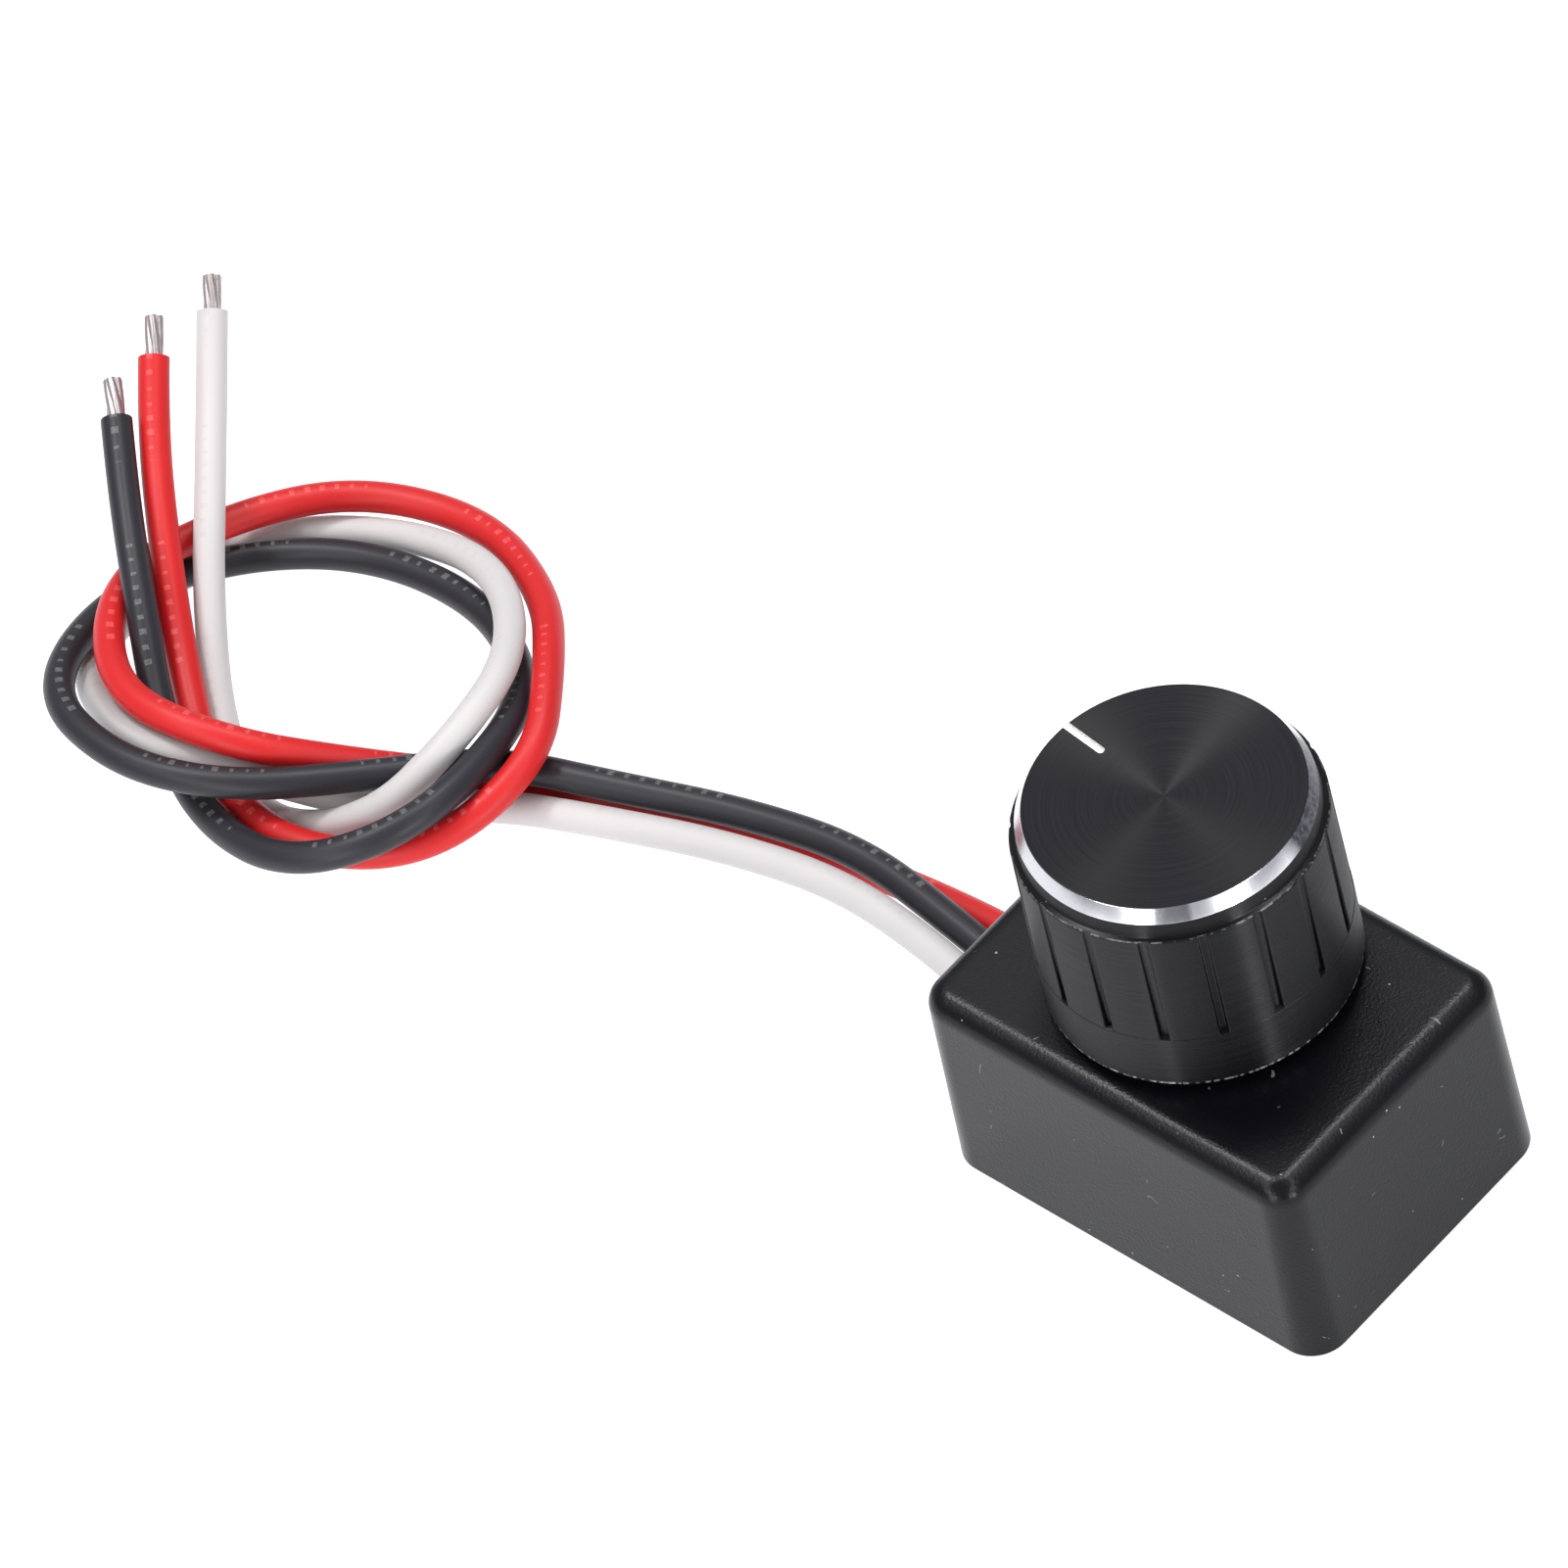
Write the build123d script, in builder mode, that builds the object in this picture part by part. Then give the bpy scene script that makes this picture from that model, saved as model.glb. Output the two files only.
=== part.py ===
from build123d import *
import os
from math import pi, radians, sqrt, tan

# Rotary LED dimmer: a small moulded box with a turned knob on top and three loose leads.
# Millimetres, +Z up. The origin is the middle of the box's underside, the leads leave towards -X.

# Box, moulded with drafted walls and open underneath
box_length = 30.7
box_width = 22.0
box_height = 15.8
wall_draft = 1.4
box_corner = 2.4
box_top_round = 1.5
side_wall = 1.5
top_wall = 1.6
least_corner = 0.3

# Cover that closes the box from below
cover_thickness = 1.2
cover_ledge = 0.7
cover_clearance = 0.1
rib_height = 1.0
rib_thickness = 0.8
rib_clearance = 0.1
post_radius = 1.4
post_inset = 2.1

# Circuit board
board_thickness = 1.2
board_clearance = 0.35
board_corner = 1.0
pin_hole_clearance = 0.18

# Potentiometer, hung from the inside of the box's top
pot_x = -0.9
pot_y = 0.98
pot_depth = 6.6
pot_plate = 1.0
pot_housing_length = 9.6
pot_housing_width = 10.8
pot_housing_floor = 0.8
pot_bowl_radius = 4.2
element_thickness = 0.4
element_clearance = 0.05
element_hole_radius = 0.9
leg_thickness = 0.6
leg_width = 2.6
leg_tail = 0.9
leg_gap = 0.05
terminal_width = 0.8
terminal_thickness = 0.4
terminal_pitch = 2.0
terminal_offset = 3.0
terminal_tail = 0.9
terminal_fit = 0.03

# Shaft, rotor and wiper, which turn in the potentiometer
shaft_radius = 3.0
shaft_clearance = 0.05
shaft_flat_depth = 1.5
shaft_flat_length = 7.0
shaft_point = 0.4
shaft_flange_radius = 3.9
shaft_flange = 0.9
shaft_end_play = 0.1
tang_radius = 1.6
tang_length = 1.4
tang_fit = 0.03
rotor_radius = 3.2
rotor_height = 2.2
lug_reach = 0.8
lug_angle = 30.0
stop_height_gap = 0.2
stop_side_gap = 0.2
travel_left = 146.0
travel_right = 134.0
stop_margin = 1.0
stop_root = 0.05
wiper_outer_radius = 3.0
wiper_inner_radius = 1.8
wiper_thickness = 0.2
wiper_finger_width = 0.7
wiper_lift = 0.05

# Thread neck, washer and nut that hold the potentiometer to the box's top
neck_radius = 3.5
neck_clearance = 0.1
neck_showing = 0.9
washer_radius = 5.5
washer_thickness = 0.5
nut_across_flats = 10.0
nut_height = 2.0
thread_clearance = 0.05

# Knob
knob_gap = 0.8
knob_radius = 10.0
knob_foot_chamfer = 0.25
knob_taper = 0.13
knob_ledge_height = 13.6
knob_ledge_width = 0.54
knob_ring_height = 1.1
knob_rim_width = 0.54
knob_rim_height = 0.9
knob_wall = 2.4
knob_top_thickness = 2.8
knob_edge = 0.12
skirt_height = 4.4
skirt_step = 0.06
slot_count = 17
slot_width = 0.6
slot_depth_top = 0.2
slot_depth_bottom = 0.5
slot_overrun = 0.5
pointer_angle = 173.6
pointer_length = 3.37
pointer_width = 0.5
pointer_depth = 0.3

# Plastic core between the knob and the shaft
insert_wall = 3.0
insert_gap = 0.5
insert_proud = 0.5
insert_end_wall = 1.9
insert_clearance = 0.03

# Leads
wire_diameter = 2.1
conductor_diameter = 1.2
lead_height = 4.2
lead_pitch = 2.6
lead_inside = 2.85
lead_straight = 1.65
lead_hole_clearance = 0.1
run_share = 0.45
solder_inset = 1.9
solder_radius = 1.05

# Where things lie, worked out from the sizes above
draft_slope = tan(radians(wall_draft))
inner_corner = max(box_corner - side_wall, least_corner)
cavity_length = box_length - 2 * side_wall
cavity_width = box_width - 2 * side_wall
inner_top = box_height - top_wall
board_top = inner_top - pot_depth
board_bottom = board_top - board_thickness
board_length = cavity_length - 2 * (draft_slope * board_top + board_clearance)
board_width = cavity_width - 2 * (draft_slope * board_top + board_clearance)
plate_bottom = inner_top - pot_plate
bowl_floor = board_top + pot_housing_floor
element_top = bowl_floor + element_thickness
flange_top = plate_bottom - shaft_end_play
rotor_top = flange_top - shaft_flange
rotor_bottom = rotor_top - rotor_height
nut_bottom = box_height + washer_thickness
neck_top = nut_bottom + nut_height + neck_showing
knob_foot = box_height + knob_gap
knob_ledge = knob_foot + knob_ledge_height
knob_ring = knob_ledge + knob_ring_height
knob_top = knob_ring + knob_rim_height
ledge_radius = knob_radius - knob_taper
ring_radius = ledge_radius - knob_ledge_width
face_radius = ring_radius - knob_rim_width
insert_bottom = neck_top + insert_gap
insert_top = knob_top - knob_top_thickness
insert_radius = shaft_radius + insert_wall
shaft_end = insert_top - insert_end_wall
solder_x = -(board_length / 2 - solder_inset)
lead_inner_x = -(box_length / 2 - lead_inside)
lead_outer_x = -(box_length / 2 + lead_straight)

os.makedirs("parts", exist_ok=True)


def finish(builder, name):
    builder.part.label = name
    export_step(builder.part, f"parts/{name}.step")


def level(height, x=0.0, y=0.0):
    return Plane.XY.move(Location((x, y, height)))


def pot_level(height):
    return level(height, pot_x, pot_y)


pot_axis = Axis((pot_x, pot_y, 0), (0, 0, 1))
pot_section = Plane(origin=(pot_x, pot_y, 0), x_dir=(1, 0, 0), z_dir=(0, -1, 0))

# Box: drafted block with a rounded top edge, hollowed from below, with a step for the cover
with BuildPart() as enclosure:
    with BuildSketch():
        RectangleRounded(box_length, box_width, box_corner)
    extrude(amount=box_height, taper=wall_draft)
    fillet(enclosure.faces().sort_by(Axis.Z)[-1].edges(), radius=box_top_round)
    with BuildSketch():
        RectangleRounded(cavity_length, cavity_width, inner_corner)
    extrude(amount=inner_top, taper=wall_draft, mode=Mode.SUBTRACT)
    with BuildSketch():
        RectangleRounded(
            cavity_length + 2 * cover_ledge, cavity_width + 2 * cover_ledge, inner_corner + cover_ledge
        )
    extrude(amount=cover_thickness, mode=Mode.SUBTRACT)
    with BuildSketch(pot_level(inner_top)):
        Circle(neck_radius + neck_clearance)
    extrude(amount=top_wall, mode=Mode.SUBTRACT)
    with BuildSketch(Plane.YZ.offset(-box_length / 2)):
        with Locations((0, lead_height)):
            with GridLocations(lead_pitch, 0, 3, 1):
                Circle(wire_diameter / 2 + lead_hole_clearance)
    extrude(amount=2 * side_wall, mode=Mode.SUBTRACT)
finish(enclosure, "enclosure")

# Cover: plate that sits flush in the step, with a locating rib and four posts under the board
rib_length = cavity_length - 2 * (draft_slope * (cover_thickness + rib_height) + rib_clearance)
rib_width = cavity_width - 2 * (draft_slope * (cover_thickness + rib_height) + rib_clearance)
with BuildPart() as base_cover:
    with BuildSketch():
        RectangleRounded(
            cavity_length + 2 * (cover_ledge - cover_clearance),
            cavity_width + 2 * (cover_ledge - cover_clearance),
            inner_corner + cover_ledge - cover_clearance,
        )
    extrude(amount=cover_thickness)
    with BuildSketch(level(cover_thickness)):
        RectangleRounded(rib_length, rib_width, inner_corner)
        Rectangle(rib_length - 2 * rib_thickness, rib_width - 2 * rib_thickness, mode=Mode.SUBTRACT)
    extrude(amount=rib_height)
    with BuildSketch(level(cover_thickness)):
        with GridLocations(board_length - 2 * post_inset, board_width - 2 * post_inset, 2, 2):
            Circle(post_radius)
    extrude(amount=board_bottom - cover_thickness)
finish(base_cover, "base_cover")

# Circuit board, pierced for the potentiometer's legs and terminals
leg_y = pot_housing_width / 2 + leg_gap + leg_thickness / 2
terminal_hole = sqrt(terminal_width**2 + terminal_thickness**2) / 2 + pin_hole_clearance
with BuildPart() as circuit_board:
    with BuildSketch(level(board_bottom)):
        RectangleRounded(board_length, board_width, board_corner)
        with Locations((pot_x, pot_y)):
            with GridLocations(0, 2 * leg_y, 1, 2):
                Rectangle(
                    leg_width + 2 * pin_hole_clearance,
                    leg_thickness + 2 * pin_hole_clearance,
                    mode=Mode.SUBTRACT,
                )
        with Locations((pot_x, pot_y - terminal_offset)):
            with GridLocations(terminal_pitch, 0, 3, 1):
                Circle(terminal_hole, mode=Mode.SUBTRACT)
    extrude(amount=board_thickness)
finish(circuit_board, "circuit_board")

# Potentiometer housing: block with a round bowl and an end stop moulded to the bowl's wall
stop_angle = 360 - travel_left - travel_right - lug_angle - 2 * stop_margin
stop_middle = pointer_angle + (travel_left - travel_right) / 2 + 180
stop_inner_radius = rotor_radius + stop_side_gap


def sector(inner_radius, outer_radius, middle, angle):
    start = middle - angle / 2
    end = middle + angle / 2
    with BuildLine() as outline:
        CenterArc((0, 0), outer_radius, start, angle)
        inner = CenterArc((0, 0), inner_radius, start, angle)
        PolarLine(inner @ 0, outer_radius - inner_radius, start)
        PolarLine(inner @ 1, outer_radius - inner_radius, end)
    make_face(outline.edges())


with BuildPart() as pot_housing:
    with BuildSketch(pot_level(board_top)):
        Rectangle(pot_housing_length, pot_housing_width)
    extrude(amount=plate_bottom - board_top)
    with BuildSketch(pot_level(bowl_floor)):
        Circle(pot_bowl_radius)
    extrude(amount=plate_bottom - bowl_floor, mode=Mode.SUBTRACT)
    with BuildSketch(pot_level(element_top)):
        sector(stop_inner_radius, pot_bowl_radius + stop_root, stop_middle, stop_angle)
    extrude(amount=rotor_top - stop_height_gap - element_top)
    with BuildSketch(pot_level(board_top)):
        with Locations((0, -terminal_offset)):
            with GridLocations(terminal_pitch, 0, 3, 1):
                Rectangle(terminal_width + 2 * terminal_fit, terminal_thickness + 2 * terminal_fit)
    extrude(amount=pot_housing_floor, mode=Mode.SUBTRACT)
finish(pot_housing, "pot_housing")

# Resistive disc on the bowl's floor
with BuildPart() as pot_element:
    with BuildSketch(pot_level(bowl_floor)):
        Circle(pot_bowl_radius - element_clearance)
        Circle(element_hole_radius, mode=Mode.SUBTRACT)
    extrude(amount=element_thickness)
finish(pot_element, "pot_element")

# Three terminals, from under the disc down through the board
for terminal_number in range(3):
    terminal_x = pot_x + (terminal_number - 1) * terminal_pitch
    with BuildPart() as pot_terminal:
        with BuildSketch(level(board_bottom - terminal_tail, terminal_x, pot_y - terminal_offset)):
            Rectangle(terminal_width, terminal_thickness)
        extrude(amount=terminal_tail + board_thickness + pot_housing_floor)
    finish(pot_terminal, f"pot_terminal_{terminal_number + 1}")

# Metal bushing: plate over the housing, neck through the box's top and two legs into the board
plate_width = pot_housing_width + 2 * (leg_gap + leg_thickness)
with BuildPart() as pot_bushing:
    with BuildSketch(pot_level(plate_bottom)):
        Rectangle(pot_housing_length, plate_width)
    extrude(amount=pot_plate)
    with BuildSketch(pot_level(inner_top)):
        Circle(neck_radius)
    extrude(amount=neck_top - inner_top)
    with BuildSketch(pot_level(plate_bottom)):
        with GridLocations(0, 2 * leg_y, 1, 2):
            Rectangle(leg_width, leg_thickness)
    extrude(amount=board_bottom - leg_tail - plate_bottom)
    with BuildSketch(pot_level(plate_bottom)):
        Circle(shaft_radius + shaft_clearance)
    extrude(amount=neck_top - plate_bottom, mode=Mode.SUBTRACT)
finish(pot_bushing, "pot_bushing")

# Washer and nut on the neck
with BuildPart() as pot_washer:
    with BuildSketch(pot_level(box_height)):
        Circle(washer_radius)
        Circle(neck_radius + neck_clearance, mode=Mode.SUBTRACT)
    extrude(amount=washer_thickness)
finish(pot_washer, "pot_washer")

with BuildPart() as pot_nut:
    with BuildSketch(pot_level(nut_bottom)):
        RegularPolygon(nut_across_flats / 2, 6, major_radius=False)
        Circle(neck_radius + thread_clearance, mode=Mode.SUBTRACT)
    extrude(amount=nut_height)
finish(pot_nut, "pot_nut")

# Shaft: flange under the plate, tang into the rotor, and a flat on the upper end for the knob
with BuildPart() as pot_shaft:
    with BuildSketch(pot_section):
        with BuildLine():
            Polyline(
                (0, rotor_top - tang_length),
                (tang_radius, rotor_top - tang_length),
                (tang_radius, rotor_top),
                (shaft_flange_radius, rotor_top),
                (shaft_flange_radius, flange_top),
                (shaft_radius, flange_top),
                (shaft_radius, shaft_end - shaft_point),
                (shaft_radius - shaft_point, shaft_end),
                (0, shaft_end),
                close=True,
            )
        make_face()
    revolve(axis=pot_axis)
    with BuildSketch(pot_level(shaft_end)):
        with Locations((shaft_radius - shaft_flat_depth, 0)):
            Rectangle(shaft_flat_depth, 2 * shaft_radius, align=(Align.MIN, Align.CENTER))
    extrude(amount=-shaft_flat_length, mode=Mode.SUBTRACT)
finish(pot_shaft, "pot_shaft")

# Rotor on the shaft's tang, with the lug that meets the end stop
with BuildPart() as pot_rotor:
    with BuildSketch(pot_level(rotor_bottom)):
        Circle(rotor_radius)
        sector(rotor_radius / 2, rotor_radius + lug_reach, pointer_angle, lug_angle)
    extrude(amount=rotor_height)
    with BuildSketch(pot_level(rotor_top)):
        Circle(tang_radius + tang_fit)
    extrude(amount=-tang_length, mode=Mode.SUBTRACT)
finish(pot_rotor, "pot_rotor")

# Spring wiper under the rotor: a ring with one finger bent down to the resistive disc
finger_radius = (wiper_inner_radius + wiper_outer_radius) / 2
finger_drop = rotor_bottom - wiper_thickness - element_top - wiper_lift
with BuildPart() as pot_wiper:
    with BuildSketch(pot_level(rotor_bottom - wiper_thickness)):
        Circle(wiper_outer_radius)
        Circle(wiper_inner_radius, mode=Mode.SUBTRACT)
    extrude(amount=wiper_thickness)
    with BuildSketch(pot_level(rotor_bottom - wiper_thickness)):
        with PolarLocations(finger_radius, 1, start_angle=pointer_angle):
            Rectangle(wiper_thickness, wiper_finger_width)
    extrude(amount=-finger_drop)
finish(pot_wiper, "pot_wiper")

# Knob: turned profile, bored from below, slotted round the side, with a milled pointer line
counterbore_radius = knob_radius - knob_wall
skirt_top = knob_foot + skirt_height
body_radius = knob_radius - skirt_step
slot_angles = [pointer_angle + number * 360 / slot_count for number in range(slot_count)]
slot_planes = [pot_section.rotated((0, 0, angle)) for angle in slot_angles]
with BuildPart() as knob_shell:
    with BuildSketch(pot_section):
        with BuildLine():
            Polyline(
                (0, insert_top),
                (insert_radius, insert_top),
                (insert_radius, insert_bottom + insert_proud),
                (counterbore_radius, insert_bottom + insert_proud),
                (counterbore_radius, knob_foot),
                (knob_radius - knob_foot_chamfer, knob_foot),
                (knob_radius, knob_foot + knob_foot_chamfer),
                (knob_radius, skirt_top),
                (body_radius, skirt_top),
                (ledge_radius, knob_ledge - knob_edge),
                (ledge_radius - knob_edge, knob_ledge),
                (ring_radius, knob_ledge),
                (ring_radius, knob_ring),
                (face_radius, knob_top),
                (0, knob_top),
                close=True,
            )
        make_face()
    revolve(axis=pot_axis)
    with BuildSketch(*slot_planes):
        Polygon(
            (body_radius - slot_depth_bottom, skirt_top),
            (knob_radius + slot_overrun, skirt_top),
            (knob_radius + slot_overrun, knob_ledge),
            (ledge_radius - slot_depth_top, knob_ledge),
            align=None,
        )
    extrude(amount=slot_width / 2, both=True, mode=Mode.SUBTRACT)
    pointer_inner = face_radius - pointer_length
    with BuildSketch(pot_level(knob_top)):
        with PolarLocations((pointer_inner + knob_radius) / 2, 1, start_angle=pointer_angle):
            SlotCenterToCenter(knob_radius - pointer_inner - pointer_width, pointer_width)
    extrude(amount=-pointer_depth, mode=Mode.SUBTRACT)
finish(knob_shell, "knob_shell")

# Core of the knob: moulded sleeve with a bore that matches the shaft and its flat
with BuildPart() as knob_insert:
    with BuildSketch(pot_level(insert_bottom)):
        Circle(insert_radius - insert_clearance)
    extrude(amount=insert_top - insert_bottom)
    with BuildSketch(pot_level(insert_bottom)):
        Circle(shaft_radius + insert_clearance)
    extrude(amount=shaft_end - insert_bottom, mode=Mode.SUBTRACT)
    with BuildSketch(pot_level(shaft_end)):
        with Locations((shaft_radius - shaft_flat_depth + insert_clearance, 0)):
            Rectangle(shaft_flat_depth, 2 * shaft_radius, align=(Align.MIN, Align.CENTER))
    extrude(amount=-(shaft_flat_length - insert_clearance))
finish(knob_insert, "knob_insert")

# Parts on the board. The upper side carries the control chip and the filter capacitor.
chip_inset = 3.7
chip_length = 4.9
chip_width = 3.9
chip_height = 1.4
chip_stand = 0.15
chip_span = 6.0
chip_pin_width = 0.42
chip_pin_thickness = 0.2
chip_pin_pitch = 1.27
chip_x = chip_inset - board_length / 2
with BuildPart() as timer_chip:
    with BuildSketch(level(board_top + chip_stand, chip_x, pot_y)):
        Rectangle(chip_width, chip_length)
    extrude(amount=chip_height)
    with BuildSketch(level(board_top, chip_x, pot_y)):
        with GridLocations((chip_span + chip_width) / 2, chip_pin_pitch, 2, 4):
            Rectangle((chip_span - chip_width) / 2, chip_pin_width)
    extrude(amount=chip_pin_thickness)
    with BuildSketch(level(board_top, chip_x, pot_y)):
        with GridLocations(chip_width + chip_pin_thickness, chip_pin_pitch, 2, 4):
            Rectangle(chip_pin_thickness, chip_pin_width)
    extrude(amount=chip_height / 2 + chip_stand)
finish(timer_chip, "timer_chip")

capacitor_inset = 4.3
capacitor_radius = 2.5
capacitor_height = 5.2
capacitor_base = 5.3
capacitor_base_height = 0.9
capacitor_corner_cut = 1.0
capacitor_x = board_length / 2 - capacitor_inset
with BuildPart() as filter_capacitor:
    with BuildSketch(level(board_top, capacitor_x, pot_y)) as base_outline:
        Rectangle(capacitor_base, capacitor_base)
        chamfer(base_outline.vertices().sort_by(Axis.X)[-2:], capacitor_corner_cut)
    extrude(amount=capacitor_base_height)
    with BuildSketch(level(board_top, capacitor_x, pot_y)):
        Circle(capacitor_radius)
    extrude(amount=capacitor_height)
finish(filter_capacitor, "filter_capacitor")

# The underside of the board carries the power parts.
transistor_inset = 0.4
transistor_length = 6.1
transistor_width = 6.6
transistor_height = 2.3
transistor_tab = 1.1
transistor_tab_width = 5.3
transistor_tab_thickness = 0.5
transistor_pin = 2.7
transistor_pin_width = 0.8
transistor_pin_pitch = 4.56
transistor_x = board_length / 2 - transistor_inset - transistor_tab - transistor_length / 2
with BuildPart() as power_transistor:
    with BuildSketch(level(board_bottom, transistor_x, pot_y)):
        Rectangle(transistor_length, transistor_width)
    extrude(amount=-transistor_height)
    with BuildSketch(level(board_bottom, transistor_x + transistor_length / 2, pot_y)):
        Rectangle(transistor_tab, transistor_tab_width, align=(Align.MIN, Align.CENTER))
    extrude(amount=-transistor_tab_thickness)
    with BuildSketch(level(board_bottom, transistor_x - transistor_length / 2, pot_y)):
        with GridLocations(0, transistor_pin_pitch, 1, 2):
            Rectangle(transistor_pin, transistor_pin_width, align=(Align.MAX, Align.CENTER))
    extrude(amount=-transistor_tab_thickness)
finish(power_transistor, "power_transistor")

regulator_x = -5.6
regulator_inset = 2.9
regulator_length = 4.5
regulator_width = 2.5
regulator_height = 1.5
regulator_pin = 0.9
regulator_pin_width = 0.45
regulator_pin_thickness = 0.4
regulator_y = board_width / 2 - regulator_inset
with BuildPart() as regulator:
    with BuildSketch(level(board_bottom, regulator_x, regulator_y)):
        Rectangle(regulator_length, regulator_width)
    extrude(amount=-regulator_height)
    with BuildSketch(level(board_bottom, regulator_x, regulator_y - regulator_width / 2)):
        with GridLocations(regulator_length / 3, 0, 3, 1):
            Rectangle(regulator_pin_width, regulator_pin, align=(Align.CENTER, Align.MAX))
    extrude(amount=-regulator_pin_thickness)
finish(regulator, "regulator")

diode_x = -5.6
diode_inset = 2.8
diode_length = 4.3
diode_width = 2.6
diode_height = 2.1
diode_pin = 0.5
diode_pin_width = 1.4
diode_pin_height = 1.1
diode_y = diode_inset - board_width / 2
with BuildPart() as diode:
    with BuildSketch(level(board_bottom, diode_x, diode_y)):
        Rectangle(diode_length, diode_width)
    extrude(amount=-diode_height)
    with BuildSketch(level(board_bottom, diode_x, diode_y)):
        with GridLocations(diode_length + diode_pin, 0, 2, 1):
            Rectangle(diode_pin, diode_pin_width)
    extrude(amount=-diode_pin_height)
finish(diode, "diode")

# Small chips in a row on the underside: resistors in front, ceramic capacitors behind
chip_part_length = 2.0
chip_part_width = 1.25
resistor_height = 0.5
ceramic_height = 0.9
chip_row_start = 1.6
chip_row_step = 1.6
chip_row_inset = 2.8
chip_row_y = board_width / 2 - chip_row_inset
resistor_count = 3
ceramic_count = 3


def chip_part(name, x, y, height):
    with BuildPart() as body:
        with BuildSketch(level(board_bottom, x, y)):
            Rectangle(chip_part_width, chip_part_length)
        extrude(amount=-height)
    finish(body, name)


for number in range(resistor_count):
    chip_part(
        f"resistor_{number + 1}", chip_row_start + number * chip_row_step, -chip_row_y, resistor_height
    )
for number in range(ceramic_count):
    chip_part(
        f"ceramic_{number + 1}", chip_row_start + number * chip_row_step, chip_row_y, ceramic_height
    )

# Leads: each comes straight out of its hole, then lies loose along the points of its route.
# The three are tied together in one overhand knot, and their stripped tails rise off the table.
leads = {
    "black": {
        "place": 0,
        "strip": 2.8,
        "route": [
            (-24.3, 1.1, 4.4),
            (-33.0, 2.3, 4.3),
            (-41.9, 0.9, 3.7),
            (-50.6, -1.9, 3.4),
            (-58.8, -4.8, 3.7),
            (-63.7, -11.6, 5.7),
            (-69.7, -17.7, 6.9),
            (-77.5, -20.2, 7.0),
            (-86.1, -18.0, 6.4),
            (-89.5, -8.3, 4.1),
            (-85.9, 0.2, 2.1),
            (-78.3, 4.6, 2.5),
            (-68.9, 5.1, 3.2),
            (-61.6, 1.7, 4.2),
            (-57.6, -3.8, 6.2),
            (-56.7, -13.8, 7.3),
            (-62.7, -19.8, 5.5),
            (-72.1, -18.7, 3.3),
            (-79.0, -14.7, 4.6),
            (-84.7, -9.5, 8.3),
            (-90.5, -4.3, 10.1),
            (-93.7, -1.0, 11.7),
        ],
    },
    "white": {
        "place": -1,
        "strip": 2.4,
        "route": [
            (-23.7, -1.3, 4.6),
            (-32.2, -0.5, 4.4),
            (-41.1, -1.7, 3.5),
            (-49.7, -4.0, 2.6),
            (-57.2, -6.3, 1.8),
            (-64.0, -11.2, 2.1),
            (-70.0, -14.9, 5.0),
            (-77.7, -18.3, 6.9),
            (-88.1, -13.8, 2.8),
            (-90.0, -4.2, 1.0),
            (-86.0, 3.4, 1.2),
            (-77.8, 7.2, 2.4),
            (-68.5, 6.9, 5.1),
            (-60.9, 1.0, 7.6),
            (-59.1, -6.3, 7.8),
            (-61.3, -13.7, 4.6),
            (-70.2, -15.9, 0.8),
            (-77.9, -11.2, 1.5),
            (-83.3, -5.4, 4.8),
            (-87.4, 0.3, 8.3),
            (-91.7, 5.7, 10.3),
            (-94.1, 9.0, 12.5),
        ],
    },
    "red": {
        "place": 1,
        "strip": 2.8,
        "route": [
            (-25.3, 3.1, 2.8),
            (-34.1, 2.8, 1.6),
            (-43.1, 0.9, 1.2),
            (-51.7, -2.0, 1.1),
            (-59.9, -5.0, 1.4),
            (-65.8, -10.6, 4.7),
            (-71.7, -15.9, 8.4),
            (-81.1, -16.5, 8.1),
            (-88.7, -8.5, 6.3),
            (-87.0, 0.5, 4.7),
            (-82.2, 7.6, 3.6),
            (-73.1, 10.3, 3.5),
            (-64.4, 7.0, 4.8),
            (-59.0, 1.8, 6.4),
            (-54.5, -4.5, 6.0),
            (-56.7, -13.1, 4.1),
            (-64.5, -17.8, 3.9),
            (-74.2, -15.6, 2.7),
            (-81.2, -10.3, 4.2),
            (-87.0, -4.8, 8.0),
            (-92.2, 0.5, 10.3),
            (-94.8, 4.0, 12.3),
        ],
    },
}


def bend_radii(points):
    radii = []
    for before, corner, after in zip(points, points[1:], points[2:]):
        run_in = corner - before
        run_out = after - corner
        half_turn = radians(run_in.get_angle(run_out)) / 2
        radii.append(run_share * min(run_in.length, run_out.length) / tan(half_turn))
    return radii


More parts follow.
